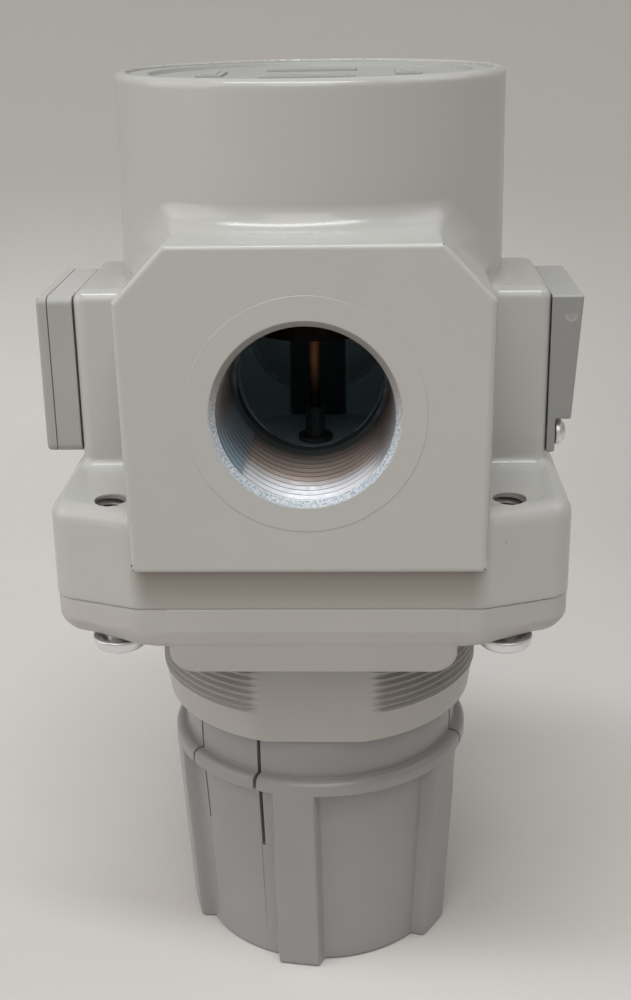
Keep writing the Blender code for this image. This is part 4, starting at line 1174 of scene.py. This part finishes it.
def make_stage():
    """A seamless pale sweep: floor, a wide bend, and a wall behind, with painted shade that darkens the floor
    towards the right and back and the sweep as it rises.
    """
    g = Graph("paper", (0.625, 0.598, 0.574), 0.8)
    x, y, height = g.axes()
    # painted shade: the floor darkens towards the right and the back
    away = g.times(g.ramp(x, 20.0, 150.0, smooth=True), g.ramp(y, 30.0, 220.0))
    colour = g.mix(g.times(away, 0.85), g.shaded(0.02, 60.0), (0.50, 0.48, 0.455))
    # painted shade: the sweep darkens as it rises into the wall
    colour = g.mix(g.ramp(height, 4.0, 110.0, smooth=True), colour, (0.41, 0.39, 0.365))
    colour = g.mix(g.ramp(height, 110.0, 300.0), colour, (0.37, 0.35, 0.325))
    look = g.finish(colour, grain=((3.0, 0.05),), roughness_spread=0.06)
    front, start, bend, top, half_width = -1400.0, 250.0, 450.0, 2200.0, 1800.0
    profile = [(front, 0.0), (start, 0.0)]
    for angle in np.linspace(0, math.pi / 2, 24)[1:]:
        profile.append((start + bend * math.sin(angle), bend - bend * math.cos(angle)))
    profile.append((start + bend, top))
    mesh = bpy.data.meshes.new("sweep")
    points = [(x * MM, y * MM, z * MM) for y, z in profile for x in (-half_width, half_width)]
    faces = [(2 * i, 2 * i + 1, 2 * i + 3, 2 * i + 2) for i in range(len(profile) - 1)]
    mesh.from_pydata(points, [], faces)
    mesh.shade_smooth()
    mesh.materials.append(look)
    sweep = bpy.data.objects.new("sweep", mesh)
    bpy.context.scene.collection.objects.link(sweep)


def area_light(name, place, target, size, power, colour=(1, 1, 1)):
    """A lamp aimed at the target; size is its width and height in metres."""
    light = bpy.data.lights.new(name, "AREA")
    light.shape, light.energy, light.color = "RECTANGLE", power, colour
    light.size, light.size_y = size
    obj = bpy.data.objects.new(name, light)
    obj.location = place
    obj.rotation_euler = (Vector(target) - Vector(place)).to_track_quat("-Z", "Y").to_euler()
    bpy.context.scene.collection.objects.link(obj)


def make_light():
    """A long lamp high in front, soft fills in front and at both sides, and very little room light."""
    world = bpy.data.worlds.new("room")
    world.use_nodes = True
    world.node_tree.nodes["Background"].inputs["Color"].default_value = (1.0, 0.95, 0.9, 1.0)
    world.node_tree.nodes["Background"].inputs["Strength"].default_value = 0.13
    bpy.context.scene.world = world
    middle = (0.0, 0.0, 0.1)
    area_light("lamp", (-0.15, -0.487, 1.622), middle, (1.6, 0.24), 16.6, (0.95, 1.0, 1.04))
    area_light("front_fill", (-0.099, -1.127, 1.231), middle, (1.0, 1.0), 6.8, (1.05, 1.0, 0.94))
    area_light("left_fill", (-1.46, -0.25, 0.72), middle, (1.5, 1.2), 7.6, (1.03, 1.0, 0.98))
    area_light("right_fill", (1.127, 0.099, 1.231), middle, (1.0, 1.0), 3.8)


def make_camera():
    """The viewpoint: a little above the ports, close to the object, looking down at it."""
    place = (0.010769, -0.283328, 0.199959)
    yaw, pitch, roll = -0.039, 0.347, 0.017
    forward = Vector((math.sin(yaw) * math.cos(pitch), math.cos(yaw) * math.cos(pitch), -math.sin(pitch)))
    level = Vector((math.cos(yaw), -math.sin(yaw), 0.0))
    down = forward.cross(level)
    right = level * math.cos(roll) + down * math.sin(roll)
    up = level * math.sin(roll) - down * math.cos(roll)
    camera = bpy.data.cameras.new("camera")
    camera.sensor_fit, camera.sensor_height, camera.sensor_width = "VERTICAL", 36.0, 36.0
    camera.lens = 50.65
    camera.clip_start = 0.01
    obj = bpy.data.objects.new("camera", camera)
    axes = Matrix((right, up, -forward)).transposed().to_4x4()
    obj.matrix_world = Matrix.Translation(place) @ axes
    bpy.context.scene.collection.objects.link(obj)
    bpy.context.scene.camera = obj


make_body()
make_flange_land()
make_top_disc()
make_bonnet()
make_bonnet_screws()
make_knob()
make_gauge()
make_cover()
make_stage()
make_light()
make_camera()
bpy.context.scene.view_settings.view_transform = "Standard"
